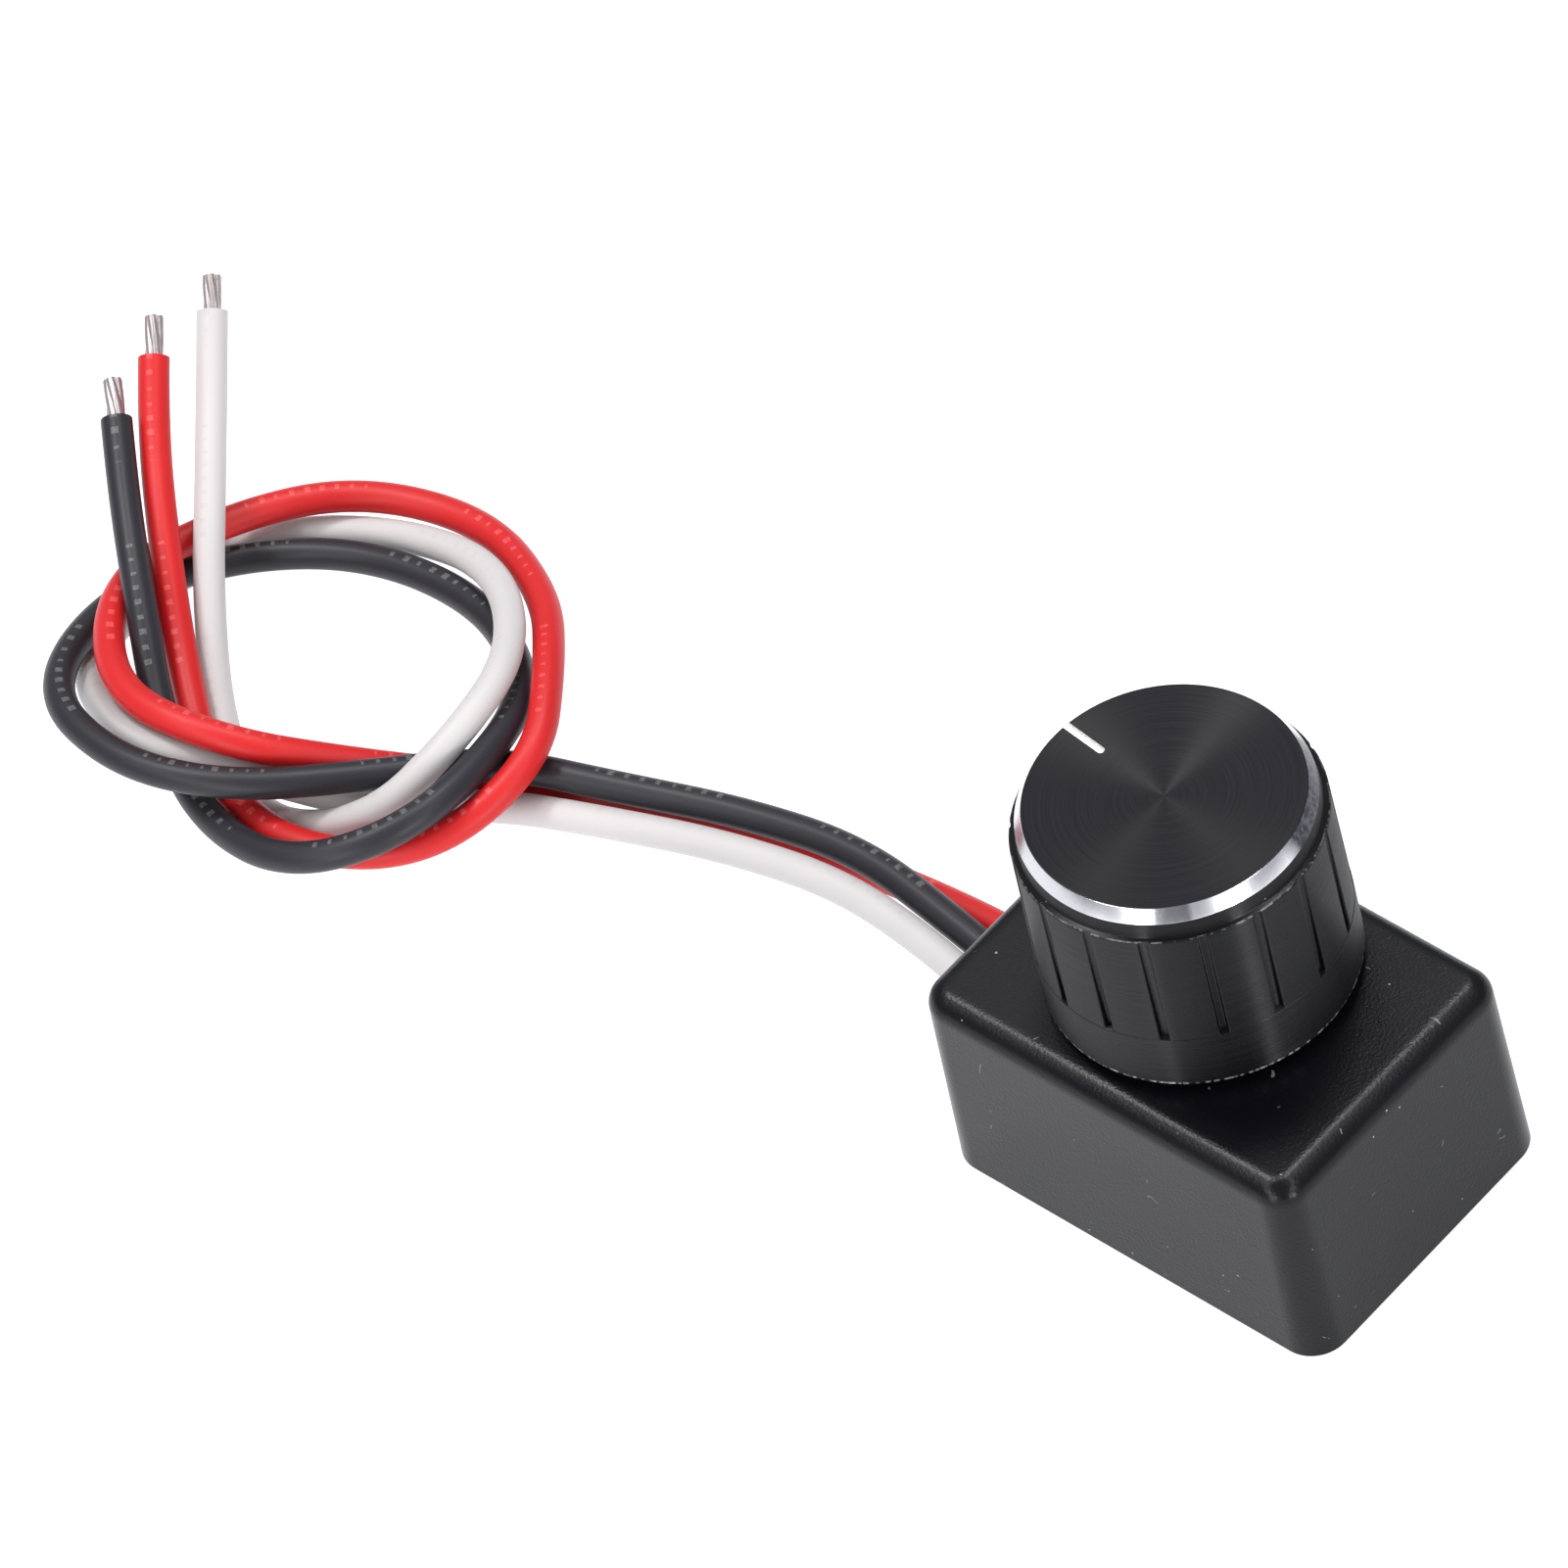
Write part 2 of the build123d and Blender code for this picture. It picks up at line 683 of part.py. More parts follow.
for colour, lead in leads.items():
    exit_y = lead["place"] * lead_pitch
    points = [Vector(lead_inner_x, exit_y, lead_height), Vector(lead_outer_x, exit_y, lead_height)]
    points += [Vector(*point) for point in lead["route"]]
    radii = bend_radii(points)
    tail_direction = (points[-1] - points[-2]).normalized()

    with BuildPart() as wire:
        with BuildLine() as path:
            FilletPolyline(*points, radius=radii)
        with BuildSketch(Plane(origin=points[0], z_dir=points[1] - points[0])):
            Circle(wire_diameter / 2)
        sweep()
    finish(wire, f"{colour}_wire")
    lead_length = path.wire().length
    section_volume = pi * wire_diameter**2 / 4 * lead_length
    print(
        f"{colour} lead: {lead_length:.1f} mm, radii {min(radii):.1f} to {max(radii):.0f} mm,",
        f"volume {wire.part.volume / section_volume:.4f} of section times length",
    )

    with BuildPart() as strands:
        with BuildSketch(Plane(origin=points[-1], z_dir=tail_direction)):
            Circle(conductor_diameter / 2)
        extrude(amount=lead["strip"])
    finish(strands, f"{colour}_strands")

    # Inner end: bare conductor from the insulation to a drop of solder under the board
    with BuildPart() as solder:
        with BuildSketch(Plane(origin=points[0], z_dir=(1, 0, 0))):
            Circle(conductor_diameter / 2)
        extrude(amount=solder_x - lead_inner_x)
        with BuildSketch(level(lead_height, solder_x, exit_y)):
            Circle(conductor_diameter / 2)
        with BuildSketch(level(board_bottom, solder_x, exit_y)):
            Circle(solder_radius)
        loft()
    finish(solder, f"{colour}_solder")
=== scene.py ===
import math

import bmesh
import bpy
from mathutils import Matrix, Vector


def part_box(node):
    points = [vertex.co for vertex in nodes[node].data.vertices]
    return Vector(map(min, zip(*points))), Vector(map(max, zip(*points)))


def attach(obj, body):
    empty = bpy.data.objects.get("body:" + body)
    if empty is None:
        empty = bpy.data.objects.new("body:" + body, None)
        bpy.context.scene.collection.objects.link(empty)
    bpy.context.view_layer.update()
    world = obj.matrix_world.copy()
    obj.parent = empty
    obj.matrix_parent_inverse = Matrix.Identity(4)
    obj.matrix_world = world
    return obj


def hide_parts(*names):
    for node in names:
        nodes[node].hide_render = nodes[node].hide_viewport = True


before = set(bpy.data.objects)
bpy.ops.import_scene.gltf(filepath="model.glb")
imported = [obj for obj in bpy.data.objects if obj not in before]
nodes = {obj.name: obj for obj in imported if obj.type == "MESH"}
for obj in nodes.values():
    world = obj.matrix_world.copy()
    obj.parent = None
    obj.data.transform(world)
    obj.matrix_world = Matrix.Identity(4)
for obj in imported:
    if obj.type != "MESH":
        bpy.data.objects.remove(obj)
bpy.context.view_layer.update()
mm = 0.001
print("frame loaded,", len(nodes), "nodes")


# Node graphs, for finishes and for geometry

class Signal:
    def __init__(self, graph, socket):
        self.graph = graph
        self.socket = socket

    def maths(self, operation, first, second=0.0):
        return self.graph.add("ShaderNodeMath", {"operation": operation}, {0: first, 1: second})

    def __add__(self, other):
        return self.maths("ADD", self, other)

    def __radd__(self, other):
        return self.maths("ADD", other, self)

    def __sub__(self, other):
        return self.maths("SUBTRACT", self, other)

    def __rsub__(self, other):
        return self.maths("SUBTRACT", other, self)

    def __mul__(self, other):
        return self.maths("MULTIPLY", self, other)

    def __rmul__(self, other):
        return self.maths("MULTIPLY", other, self)

    def __truediv__(self, other):
        return self.maths("DIVIDE", self, other)

    def __rtruediv__(self, other):
        return self.maths("DIVIDE", other, self)

    def __pow__(self, other):
        return self.maths("POWER", self, other)

    def __gt__(self, other):
        return self.maths("GREATER_THAN", self, other)

    def __lt__(self, other):
        return self.maths("LESS_THAN", self, other)

    def __abs__(self):
        return self.maths("ABSOLUTE", self)


class Graph:
    def __init__(self, tree):
        self.tree = tree

    def add(self, kind, settings=None, inputs=None, output=0):
        node = self.tree.nodes.new(kind)
        for name, value in (settings or {}).items():
            if name == "stops":
                self.setStops(node.color_ramp, value)
            else:
                setattr(node, name, value)
        for name, value in (inputs or {}).items():
            if isinstance(value, Signal):
                self.tree.links.new(value.socket, node.inputs[name])
            else:
                node.inputs[name].default_value = value
        return Signal(self, node.outputs[output]) if node.outputs else None

    def setStops(self, ramp, stops):
        while len(ramp.elements) < len(stops):
            ramp.elements.new(1.0)
        for element, (position, shade) in zip(ramp.elements, stops):
            element.position = position
            element.color = (*shade, 1.0) if isinstance(shade, tuple) else (shade, shade, shade, 1.0)


class Finish(Graph):
    def __init__(self, name):
        self.material = bpy.data.materials.new(name)
        self.material.use_nodes = True
        super().__init__(self.material.node_tree)
        self.tree.nodes.clear()

    def place(self):
        return self.add("ShaderNodeTexCoord", output="Object")

    def part(self, vector, axis):
        return self.add("ShaderNodeSeparateXYZ", {}, {0: vector}, axis)

    def noise(self, vector, size, detail=2.0):
        inputs = {"Vector": vector, "Scale": 1.0 / size, "Detail": detail}
        return self.add("ShaderNodeTexNoise", {}, inputs, "Fac")

    def wrapped(self, around, upward, detail):
        # noise laid round an upright axis
        spot = self.add("ShaderNodeCombineXYZ", {}, {0: around, 2: upward})
        return self.noise(spot, 1.0, detail)

    def ramp(self, signal, stops):
        return self.add("ShaderNodeValToRGB", {"stops": stops}, {"Fac": signal})

    def tint(self, factor, first, second):
        # inputs 6 and 7 and output 2 are the node's colours
        return self.add("ShaderNodeMix", {"data_type": "RGBA"}, {0: factor, 6: first, 7: second}, 2)

    def bump(self, height, depth, strength=1.0):
        return self.add("ShaderNodeBump", {}, {"Height": height, "Distance": depth, "Strength": strength})

    def polar(self, centre):
        # distance and angle round an upright axis
        offset = self.add("ShaderNodeVectorMath", {"operation": "SUBTRACT"}, {0: self.place(), 1: centre})
        across = self.part(offset, "X")
        along = self.part(offset, "Y")
        radius = (across * across + along * along) ** 0.5
        return radius, along.maths("ARCTAN2", along, across)

    def dust(self, vector, pitch, size, rarity):
        # a few small pale specks, scattered unevenly
        cells = self.add("ShaderNodeTexVoronoi", {}, {"Vector": vector, "Scale": 1.0 / pitch}, "Distance")
        patches = self.noise(vector, 1.7 * pitch, 0.0)
        return (cells < size) * (patches > rarity)

    def lint(self, vector, pitch, width, rarity):
        # a few short pale fibres
        inputs = {"Vector": vector, "Scale": 1.0 / pitch}
        borders = self.add("ShaderNodeTexVoronoi", {"feature": "DISTANCE_TO_EDGE"}, inputs, "Distance")
        patches = self.noise(vector, 0.25 * pitch, 0.0)
        return (borders < width) * (patches > rarity)

    def surface(self, **sockets):
        named = {name.replace("_", " "): value for name, value in sockets.items()}
        shader = self.add("ShaderNodeBsdfPrincipled", {}, named)
        self.add("ShaderNodeOutputMaterial", {}, {"Surface": shader})
        return self.material


# Finishes

knobLow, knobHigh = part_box("knob_shell")
knobCentre = ((knobLow[0] + knobHigh[0]) / 2, (knobLow[1] + knobHigh[1]) / 2, 0.0)
dustColour = (0.5, 0.5, 0.5, 1)
# the shine of turned faces is drawn out across their cut lines
turnedShine = 0.25

caseLook = {
    "dark": (0.002, 0.002, 0.0036, 1),
    "light": (0.0036, 0.0037, 0.0055, 1),
    "grain": 0.19 * mm,
    "grainDepth": 0.025 * mm,
    "grainStrength": 0.8,
    "cloud": 6.0 * mm,
    "roughness": 0.25,
    "cloudRoughness": 0.08,
    "specular": 0.215,
    "specks": {"pitch": 1.5 * mm, "size": 0.05, "rarity": 0.57},
    "fibres": {"pitch": 4.0 * mm, "width": 0.007, "rarity": 0.77},
    "fibreShare": 0.5,
    "swayPitch": 2.0 * mm,
    "sway": 1.5 * mm,
    "dustiness": 0.6,
}


def mouldedCaseFinish(look):
    finish = Finish("mouldedCase")
    place = finish.place()
    grain = finish.noise(place, look["grain"], 3.0)
    cloud = finish.noise(place, look["cloud"])
    # the fibres curl, because their coordinates sway
    sway = finish.noise(place, look["swayPitch"], 1.0) * look["sway"]
    bent = finish.add("ShaderNodeVectorMath", {}, {0: place, 1: sway})
    fibres = finish.lint(bent, **look["fibres"])
    dirt = finish.dust(place, **look["specks"]) + fibres * look["fibreShare"]
    plastic = finish.tint(cloud, look["dark"], look["light"])
    return finish.surface(
        Base_Color=finish.tint(dirt * look["dustiness"], plastic, dustColour),
        Roughness=look["roughness"] + cloud * look["cloudRoughness"],
        Specular_IOR_Level=look["specular"],
        Normal=finish.bump(grain, look["grainDepth"], look["grainStrength"]),
    )


anodisedLook = {
    "dark": (0.0012, 0.0012, 0.002, 1),
    "light": (0.007, 0.007, 0.009, 1),
    "bare": (0.6, 0.6, 0.62, 1),
    "lathePitch": 0.2 * mm,
    "latheWaver": 1.1,
    "latheDepth": 0.03 * mm,
    "latheStrength": 0.8,
    "ridgeStops": [(0.45, 0.0), (0.7, 1.0)],
    "ridgeShare": 0.6,
    "streaksRound": 14.0,
    "streakLength": 9.0 * mm,
    "streakShare": 0.4,
    "glintsRound": 26.0,
    "glintLength": 4.0 * mm,
    "glintStops": [(0.46, 0.0), (0.62, 1.0)],
    "footGlint": 0.36 * mm,
    "footShare": 0.8,
    "ledgeGlint": 13.56 * mm,
    "ledgeReach": 0.03 * mm,
    "ledgeRadius": 9.7 * mm,
    "ledgeShare": 0.22,
    "roughness": 0.26,
    "streakRoughness": 0.05,
    "latheRoughness": 0.12,
    "specular": 0.26,
    "specks": {"pitch": 1.2 * mm, "size": 0.04, "rarity": 0.6},
    "dustiness": 0.5,
}


def anodisedFinish(look):
    finish = Finish("blackAnodised")
    radius, angle = finish.polar(knobCentre)
    height = finish.part(finish.place(), "Z")
    latheLines = finish.wrapped(angle * look["latheWaver"], height / look["lathePitch"], 3.0)
    streaks = finish.wrapped(angle * look["streaksRound"], height / look["streakLength"], 3.0)
    patches = finish.wrapped(angle * look["glintsRound"], height / look["glintLength"], 4.0)
    # bare metal shows in broken glints on the foot's edge and on the edge below the ring
    foot = height < knobLow[2] + look["footGlint"]
    ledge = abs(height - knobLow[2] - look["ledgeGlint"]) < look["ledgeReach"]
    upper = ledge * (radius > look["ledgeRadius"])
    broken = finish.ramp(patches, look["glintStops"])
    worn = (foot * look["footShare"] + upper * look["ledgeShare"]) * broken
    ridges = finish.ramp(latheLines, look["ridgeStops"])
    paler = streaks * look["streakShare"] + ridges * look["ridgeShare"]
    black = finish.tint(paler, look["dark"], look["light"])
    specks = finish.dust(finish.place(), **look["specks"])
    dusty = finish.tint(specks * look["dustiness"], black, dustColour)
    rough = look["roughness"] + streaks * look["streakRoughness"] + latheLines * look["latheRoughness"]
    return finish.surface(
        Base_Color=finish.tint(worn, dusty, look["bare"]),
        Metallic=worn,
        Roughness=rough,
        Specular_IOR_Level=look["specular"],
        Anisotropic=1.0,
        Anisotropic_Rotation=turnedShine,
        Normal=finish.bump(latheLines, look["latheDepth"], look["latheStrength"]),
    )


spunLook = {
    "dark": (0.006, 0.006, 0.0075, 1),
    "light": (0.024, 0.024, 0.027, 1),
    "ringPitch": 0.07 * mm,
    "ringWaver": 0.7,
    "ringDepth": 0.0015 * mm,
    "widePitch": 0.5 * mm,
    "dish": 0.15,
    "roughness": 0.3,
    "wideRoughness": 0.1,
    "ringRoughness": 0.1,
    "specular": 0.088,
    "anisotropy": 0.93,
}


def spunFaceFinish(look):
    finish = Finish("spunFace")
    radius, angle = finish.polar(knobCentre)
    spun = {0: radius / look["ringPitch"], 1: angle * look["ringWaver"]}
    rings = finish.noise(finish.add("ShaderNodeCombineXYZ", {}, spun), 1.0, 3.0)
    wide = finish.noise(finish.add("ShaderNodeCombineXYZ", {}, {0: radius}), look["widePitch"])
    # the cut face dips slightly towards its middle
    dished = radius * look["dish"] + rings * look["ringDepth"]
    return finish.surface(
        Base_Color=finish.tint(rings, look["dark"], look["light"]),
        Roughness=look["roughness"] + wide * look["wideRoughness"] + rings * look["ringRoughness"],
        Specular_IOR_Level=look["specular"],
        Anisotropic=look["anisotropy"],
        Anisotropic_Rotation=turnedShine,
        Normal=finish.bump(dished, 1.0),
    )


rimLook = {
    "bright": (0.79, 0.79, 0.81, 1),
    # colour of the painted dark reflections, and the stretches round the rim where they are painted
    "paintedDarkReflection": (0.045, 0.045, 0.056, 1),
    "stretches": [
        {"middle": -105.0, "reach": 30.0, "depth": 0.35},
        {"middle": -47.0, "reach": 8.0, "depth": 0.6},
        {"middle": 38.0, "reach": 34.0, "depth": 1.0},
    ],
    "fadeStart": 0.75,
    "scuff": 0.35 * mm,
    "scuffDepth": 0.01 * mm,
    "scuffStrength": 0.15,
    "scuffStops": [(0.34, 0.9), (0.6, 1.0)],
    "linePitch": 0.05 * mm,
    "roughness": 0.17,
    "lineRoughness": 0.1,
}


def brightRimFinish(look):
    finish = Finish("brightRim")
    angle = finish.polar(knobCentre)[1]
    scuffs = finish.noise(finish.place(), look["scuff"], 4.0)
    height = finish.part(finish.place(), "Z")
    lines = finish.noise(finish.add("ShaderNodeCombineXYZ", {}, {0: height}), look["linePitch"])
    # painted dark reflections in stretches round the rim, mottled by the scuff pattern
    paintedDarkReflection = 0.0
    for stretch in look["stretches"]:
        distance = abs(angle - math.radians(stretch["middle"])) / math.radians(stretch["reach"])
        paintedDarkReflection = paintedDarkReflection + finish.ramp(distance, [(look["fadeStart"], stretch["depth"]), (1.0, 0.0)])
    reflectionMottle = finish.ramp(scuffs, look["scuffStops"])
    return finish.surface(
        Base_Color=finish.tint(paintedDarkReflection * reflectionMottle, look["bright"], look["paintedDarkReflection"]),
        Metallic=1.0,
        Roughness=look["roughness"] + lines * look["lineRoughness"],
        Normal=finish.bump(scuffs, look["scuffDepth"], look["scuffStrength"]),
    )


pointerLook = {
    "dark": (0.7, 0.69, 0.67, 1),
    "light": (0.78, 0.77, 0.75, 1),
    "grain": 0.08 * mm,
    "metallic": 0.85,
    "roughness": 0.42,
    "grainRoughness": 0.15,
}


def pointerFinish(look):
    finish = Finish("pointerMetal")
    grain = finish.noise(finish.place(), look["grain"])
    return finish.surface(
        Base_Color=finish.tint(grain, look["dark"], look["light"]),
        Metallic=look["metallic"],
        Roughness=look["roughness"] + grain * look["grainRoughness"],
    )


tinnedLook = {
    "light": (0.48, 0.44, 0.43, 1),
    "dark": (0.33, 0.28, 0.275, 1),
    "blotch": 0.5 * mm,
    "grain": 0.07 * mm,
    "metallic": 0.9,
    "roughness": 0.3,
    "grainRoughness": 0.2,
}


def tinnedFinish(look):
    finish = Finish("tinnedCopper")
    blotch = finish.noise(finish.place(), look["blotch"], 3.0)
    grain = finish.noise(finish.place(), look["grain"])
    return finish.surface(
        Base_Color=finish.tint(blotch, look["light"], look["dark"]),
        Metallic=look["metallic"],
        Roughness=look["roughness"] + grain * look["grainRoughness"],
    )


# along a lead in millimetres, round it as a share of its girth
inkShape = {
    "pitch": 1.05,
    "shortest": 0.16,
    "spread": 0.28,
    "groupPitch": 15.5,
    "groupShare": 0.6,
    "around": 0.25,
    "band": 0.08,
    "bandLeast": 0.3,
    "bandSpread": 0.2,
    "wearStops": [(0.3, 0.3), (0.6, 1.0)],
}

rubberLook = {
    "cloud": 3.0 * mm,
    "grain": 0.12 * mm,
    "grainDepth": 0.006 * mm,
    "grainStrength": 0.4,
    "grainRoughness": 0.12,
    "specular": 0.3,
}

leadLooks = {
    "black": {
        "light": (0.0155, 0.0146, 0.019, 1),
        "deep": (0.0187, 0.0178, 0.0228, 1),
        "ink": (0.11, 0.11, 0.115, 1),
        "roughness": 0.36,
    },
    "white": {
        "light": (0.51, 0.488, 0.484, 1),
        "deep": (0.489, 0.467, 0.463, 1),
        "ink": (0.47, 0.44, 0.43, 1),
        "roughness": 0.4,
    },
    "red": {
        "light": (0.52, 0.0125, 0.0135, 1),
        "deep": (0.49, 0.01, 0.011, 1),
        "ink": (0.63, 0.07, 0.07, 1),
        "roughness": 0.38,
    },
}

leadLengths = {"black": 189.2, "white": 188.4, "red": 193.5}


def siliconeFinish(colour, look, rubber, ink):
    finish = Finish(colour + "Silicone")
    cloud = finish.noise(finish.place(), rubber["cloud"])
    grain = finish.noise(finish.place(), rubber["grain"])
    track = finish.add("ShaderNodeTexCoord", output="UV")
    along = finish.part(track, "X") * leadLengths[colour]
    around = finish.part(track, "Y")
    # a broken row of plain ticks of uneven width
    step = along / ink["pitch"]
    tick = {"W": along.maths("FLOOR", step)}
    chance = finish.add("ShaderNodeTexWhiteNoise", {"noise_dimensions": "1D"}, tick, "Value")
    dash = along.maths("FRACT", step) < ink["shortest"] + chance * ink["spread"]
    group = along.maths("FRACT", along / ink["groupPitch"]) < ink["groupShare"]
    line = abs(around - ink["around"]) < ink["band"] * (ink["bandLeast"] + chance * ink["bandSpread"])
    worn = finish.ramp(grain, ink["wearStops"])
    plain = finish.tint(cloud, look["light"], look["deep"])
    return finish.surface(
        Base_Color=finish.tint(dash * group * line * worn, plain, look["ink"]),
        Roughness=look["roughness"] + grain * rubber["grainRoughness"],
        Specular_IOR_Level=rubber["specular"],
        Normal=finish.bump(grain, rubber["grainDepth"], rubber["grainStrength"]),
    )


plainLooks = {
    "board": {
        "name": "boardMask",
        "light": (0.02, 0.16, 0.07, 1),
        "deep": (0.015, 0.12, 0.05, 1),
        "metallic": 0.0,
        "roughness": 0.3,
        "grain": 0.4 * mm,
    },
    "brown": {
        "name": "brownMoulding",
        "light": (0.13, 0.07, 0.035, 1),
        "deep": (0.1, 0.05, 0.028, 1),
        "metallic": 0.0,
        "roughness": 0.45,
        "grain": 0.3 * mm,
    },
    "plated": {
        "name": "platedSteel",
        "light": (0.7, 0.69, 0.66, 1),
        "deep": (0.55, 0.54, 0.52, 1),
        "metallic": 1.0,
        "roughness": 0.25,
        "grain": 0.2 * mm,
    },
    "aluminium": {
        "name": "turnedAluminium",
        "light": (0.75, 0.75, 0.76, 1),
        "deep": (0.6, 0.6, 0.62, 1),
        "metallic": 1.0,
        "roughness": 0.3,
        "grain": 0.15 * mm,
    },
    "brass": {
        "name": "springBrass",
        "light": (0.78, 0.58, 0.25, 1),
        "deep": (0.6, 0.42, 0.16, 1),
        "metallic": 1.0,
        "roughness": 0.25,
        "grain": 0.3 * mm,
    },
    "core": {
        "name": "coreMoulding",
        "light": (0.03, 0.03, 0.031, 1),
        "deep": (0.02, 0.02, 0.021, 1),
        "metallic": 0.0,
        "roughness": 0.45,
        "grain": 0.25 * mm,
    },
    "epoxy": {
        "name": "chipEpoxy",
        "light": (0.026, 0.026, 0.027, 1),
        "deep": (0.018, 0.018, 0.019, 1),
        "metallic": 0.0,
        "roughness": 0.5,
        "grain": 0.12 * mm,
    },
    "ceramic": {
        "name": "firedCeramic",
        "light": (0.5, 0.36, 0.22, 1),
        "deep": (0.42, 0.3, 0.17, 1),
        "metallic": 0.0,
        "roughness": 0.4,
        "grain": 0.2 * mm,
    },
}

plainGrain = {"roughness": 0.15, "depthShare": 0.05, "strength": 0.4}


def plainFinish(look):
    finish = Finish(look["name"])
    grain = finish.noise(finish.place(), look["grain"], 3.0)
    depth = look["grain"] * plainGrain["depthShare"]
    return finish.surface(
        Base_Color=finish.tint(grain, look["light"], look["deep"]),
        Metallic=look["metallic"],
        Roughness=look["roughness"] + grain * plainGrain["roughness"],
        Normal=finish.bump(grain, depth, plainGrain["strength"]),
    )


finishes = {
    "case": mouldedCaseFinish(caseLook),
    "anodised": anodisedFinish(anodisedLook),
    "spun": spunFaceFinish(spunLook),
    "rim": brightRimFinish(rimLook),
    "pointer": pointerFinish(pointerLook),
    "tinned": tinnedFinish(tinnedLook),
}
for leadColour, leadLook in leadLooks.items():
    finishes[leadColour] = siliconeFinish(leadColour, leadLook, rubberLook, inkShape)
for finishName, plainLook in plainLooks.items():
    finishes[finishName] = plainFinish(plainLook)
print("finishes made:", len(finishes))


# Mesh helpers

def addPiece(name, mesh, *materials):
    piece = bpy.data.objects.new(name, mesh)
    bpy.context.scene.collection.objects.link(piece)
    for material in materials:
        mesh.materials.append(material)
    return piece


def growNodes(piece, tree, values):
    modifier = piece.modifiers.new(tree.name, "NODES")
    modifier.node_group = tree
    for socket in tree.interface.items_tree:
        if socket.in_out == "INPUT" and socket.name in values:
            modifier[socket.identifier] = values[socket.name]


def bakedMesh(piece):
    # the piece as its modifiers leave it, as a plain mesh
    graph = bpy.context.evaluated_depsgraph_get()
    mesh = bpy.data.meshes.new_from_object(piece.evaluated_get(graph))
    piece.modifiers.clear()
    piece.data = mesh
    return mesh


def smoothMesh(mesh, sharpAngle):
    for polygon in mesh.polygons:
        polygon.use_smooth = True
    mesh.set_sharp_from_angle(angle=math.radians(sharpAngle))


def roundedRectangle(halfX, halfY, radius, height, steps, support):
    points = []
    for turn, (signX, signY) in enumerate(((1, 1), (-1, 1), (-1, -1), (1, -1))):
        centre = Vector((signX * (halfX - radius), signY * (halfY - radius), height))
        start = math.radians(90 * turn)
        enter = Vector((math.cos(start), math.sin(start), 0.0))
        leave = Vector((-enter.y, enter.x, 0.0))
        points.append(centre + radius * enter - support * leave)
        for step in range(steps + 1):
            angle = start + math.radians(90 * step / steps)
            points.append(centre + radius * Vector((math.cos(angle), math.sin(angle), 0.0)))
        points.append(centre + radius * leave - support * enter)
    return points


def loftedMesh(name, rings):
    # closed skin over a chain of rings, capped at both ends
    count = len(rings[0])
    points = [point for ring in rings for point in ring]
    faces = []
    for level in range(len(rings) - 1):
        for index in range(count):
            following = (index + 1) % count
            lower = level * count
            upper = lower + count
            faces.append((lower + index, lower + following, upper + following, upper + index))
    faces.append(tuple(reversed(range(count))))
    faces.append(tuple(range(len(points) - count, len(points))))
    mesh = bpy.data.meshes.new(name)
    mesh.from_pydata(points, [], faces)
    skin = bmesh.new()
    skin.from_mesh(mesh)
    bmesh.ops.recalc_face_normals(skin, faces=skin.faces)
    skin.to_mesh(mesh)
    skin.free()
    return mesh


def roundBar(skin, start, end, radius, segments=48):
    # closed cylinder between two points, added to a bmesh
    along = end - start
    turn = along.to_track_quat("Z", "Y").to_matrix().to_4x4()
    place = Matrix.Translation((start + end) / 2) @ turn
    bmesh.ops.create_cone(
        skin,
        cap_ends=True,
        segments=segments,
        radius1=radius,
        radius2=radius,
        depth=along.length,
        matrix=place,
    )


def cutAway(piece, cutterMesh, material):
    cutter = addPiece("cutter", cutterMesh, material)
    modifier = piece.modifiers.new("cut", "BOOLEAN")
    modifier.operation = "DIFFERENCE"
    modifier.solver = "EXACT"
    modifier.material_mode = "TRANSFER"
    modifier.object = cutter
    bakedMesh(piece)
    bpy.data.objects.remove(cutter)


# Box

caseShape = {
    "draft": 1.4,
    "corner": 2.4 * mm,
    "smallestCorner": 0.3 * mm,
    "topRound": 1.5 * mm,
    "wall": 1.5 * mm,
    "topWall": 1.6 * mm,
    "coverDepth": 1.2 * mm,
    "coverLedge": 0.7 * mm,
    "footRound": 0.12 * mm,
    "leadHole": 1.15 * mm,
    "neckHole": 3.6 * mm,
    "leadHeight": 4.2 * mm,
    "leadPitch": 2.6 * mm,
    "cutterWalls": 3,
    "cornerSteps": 14,
    "roundSteps": 10,
    "support": 0.25 * mm,
    "sharpAngle": 35,
}


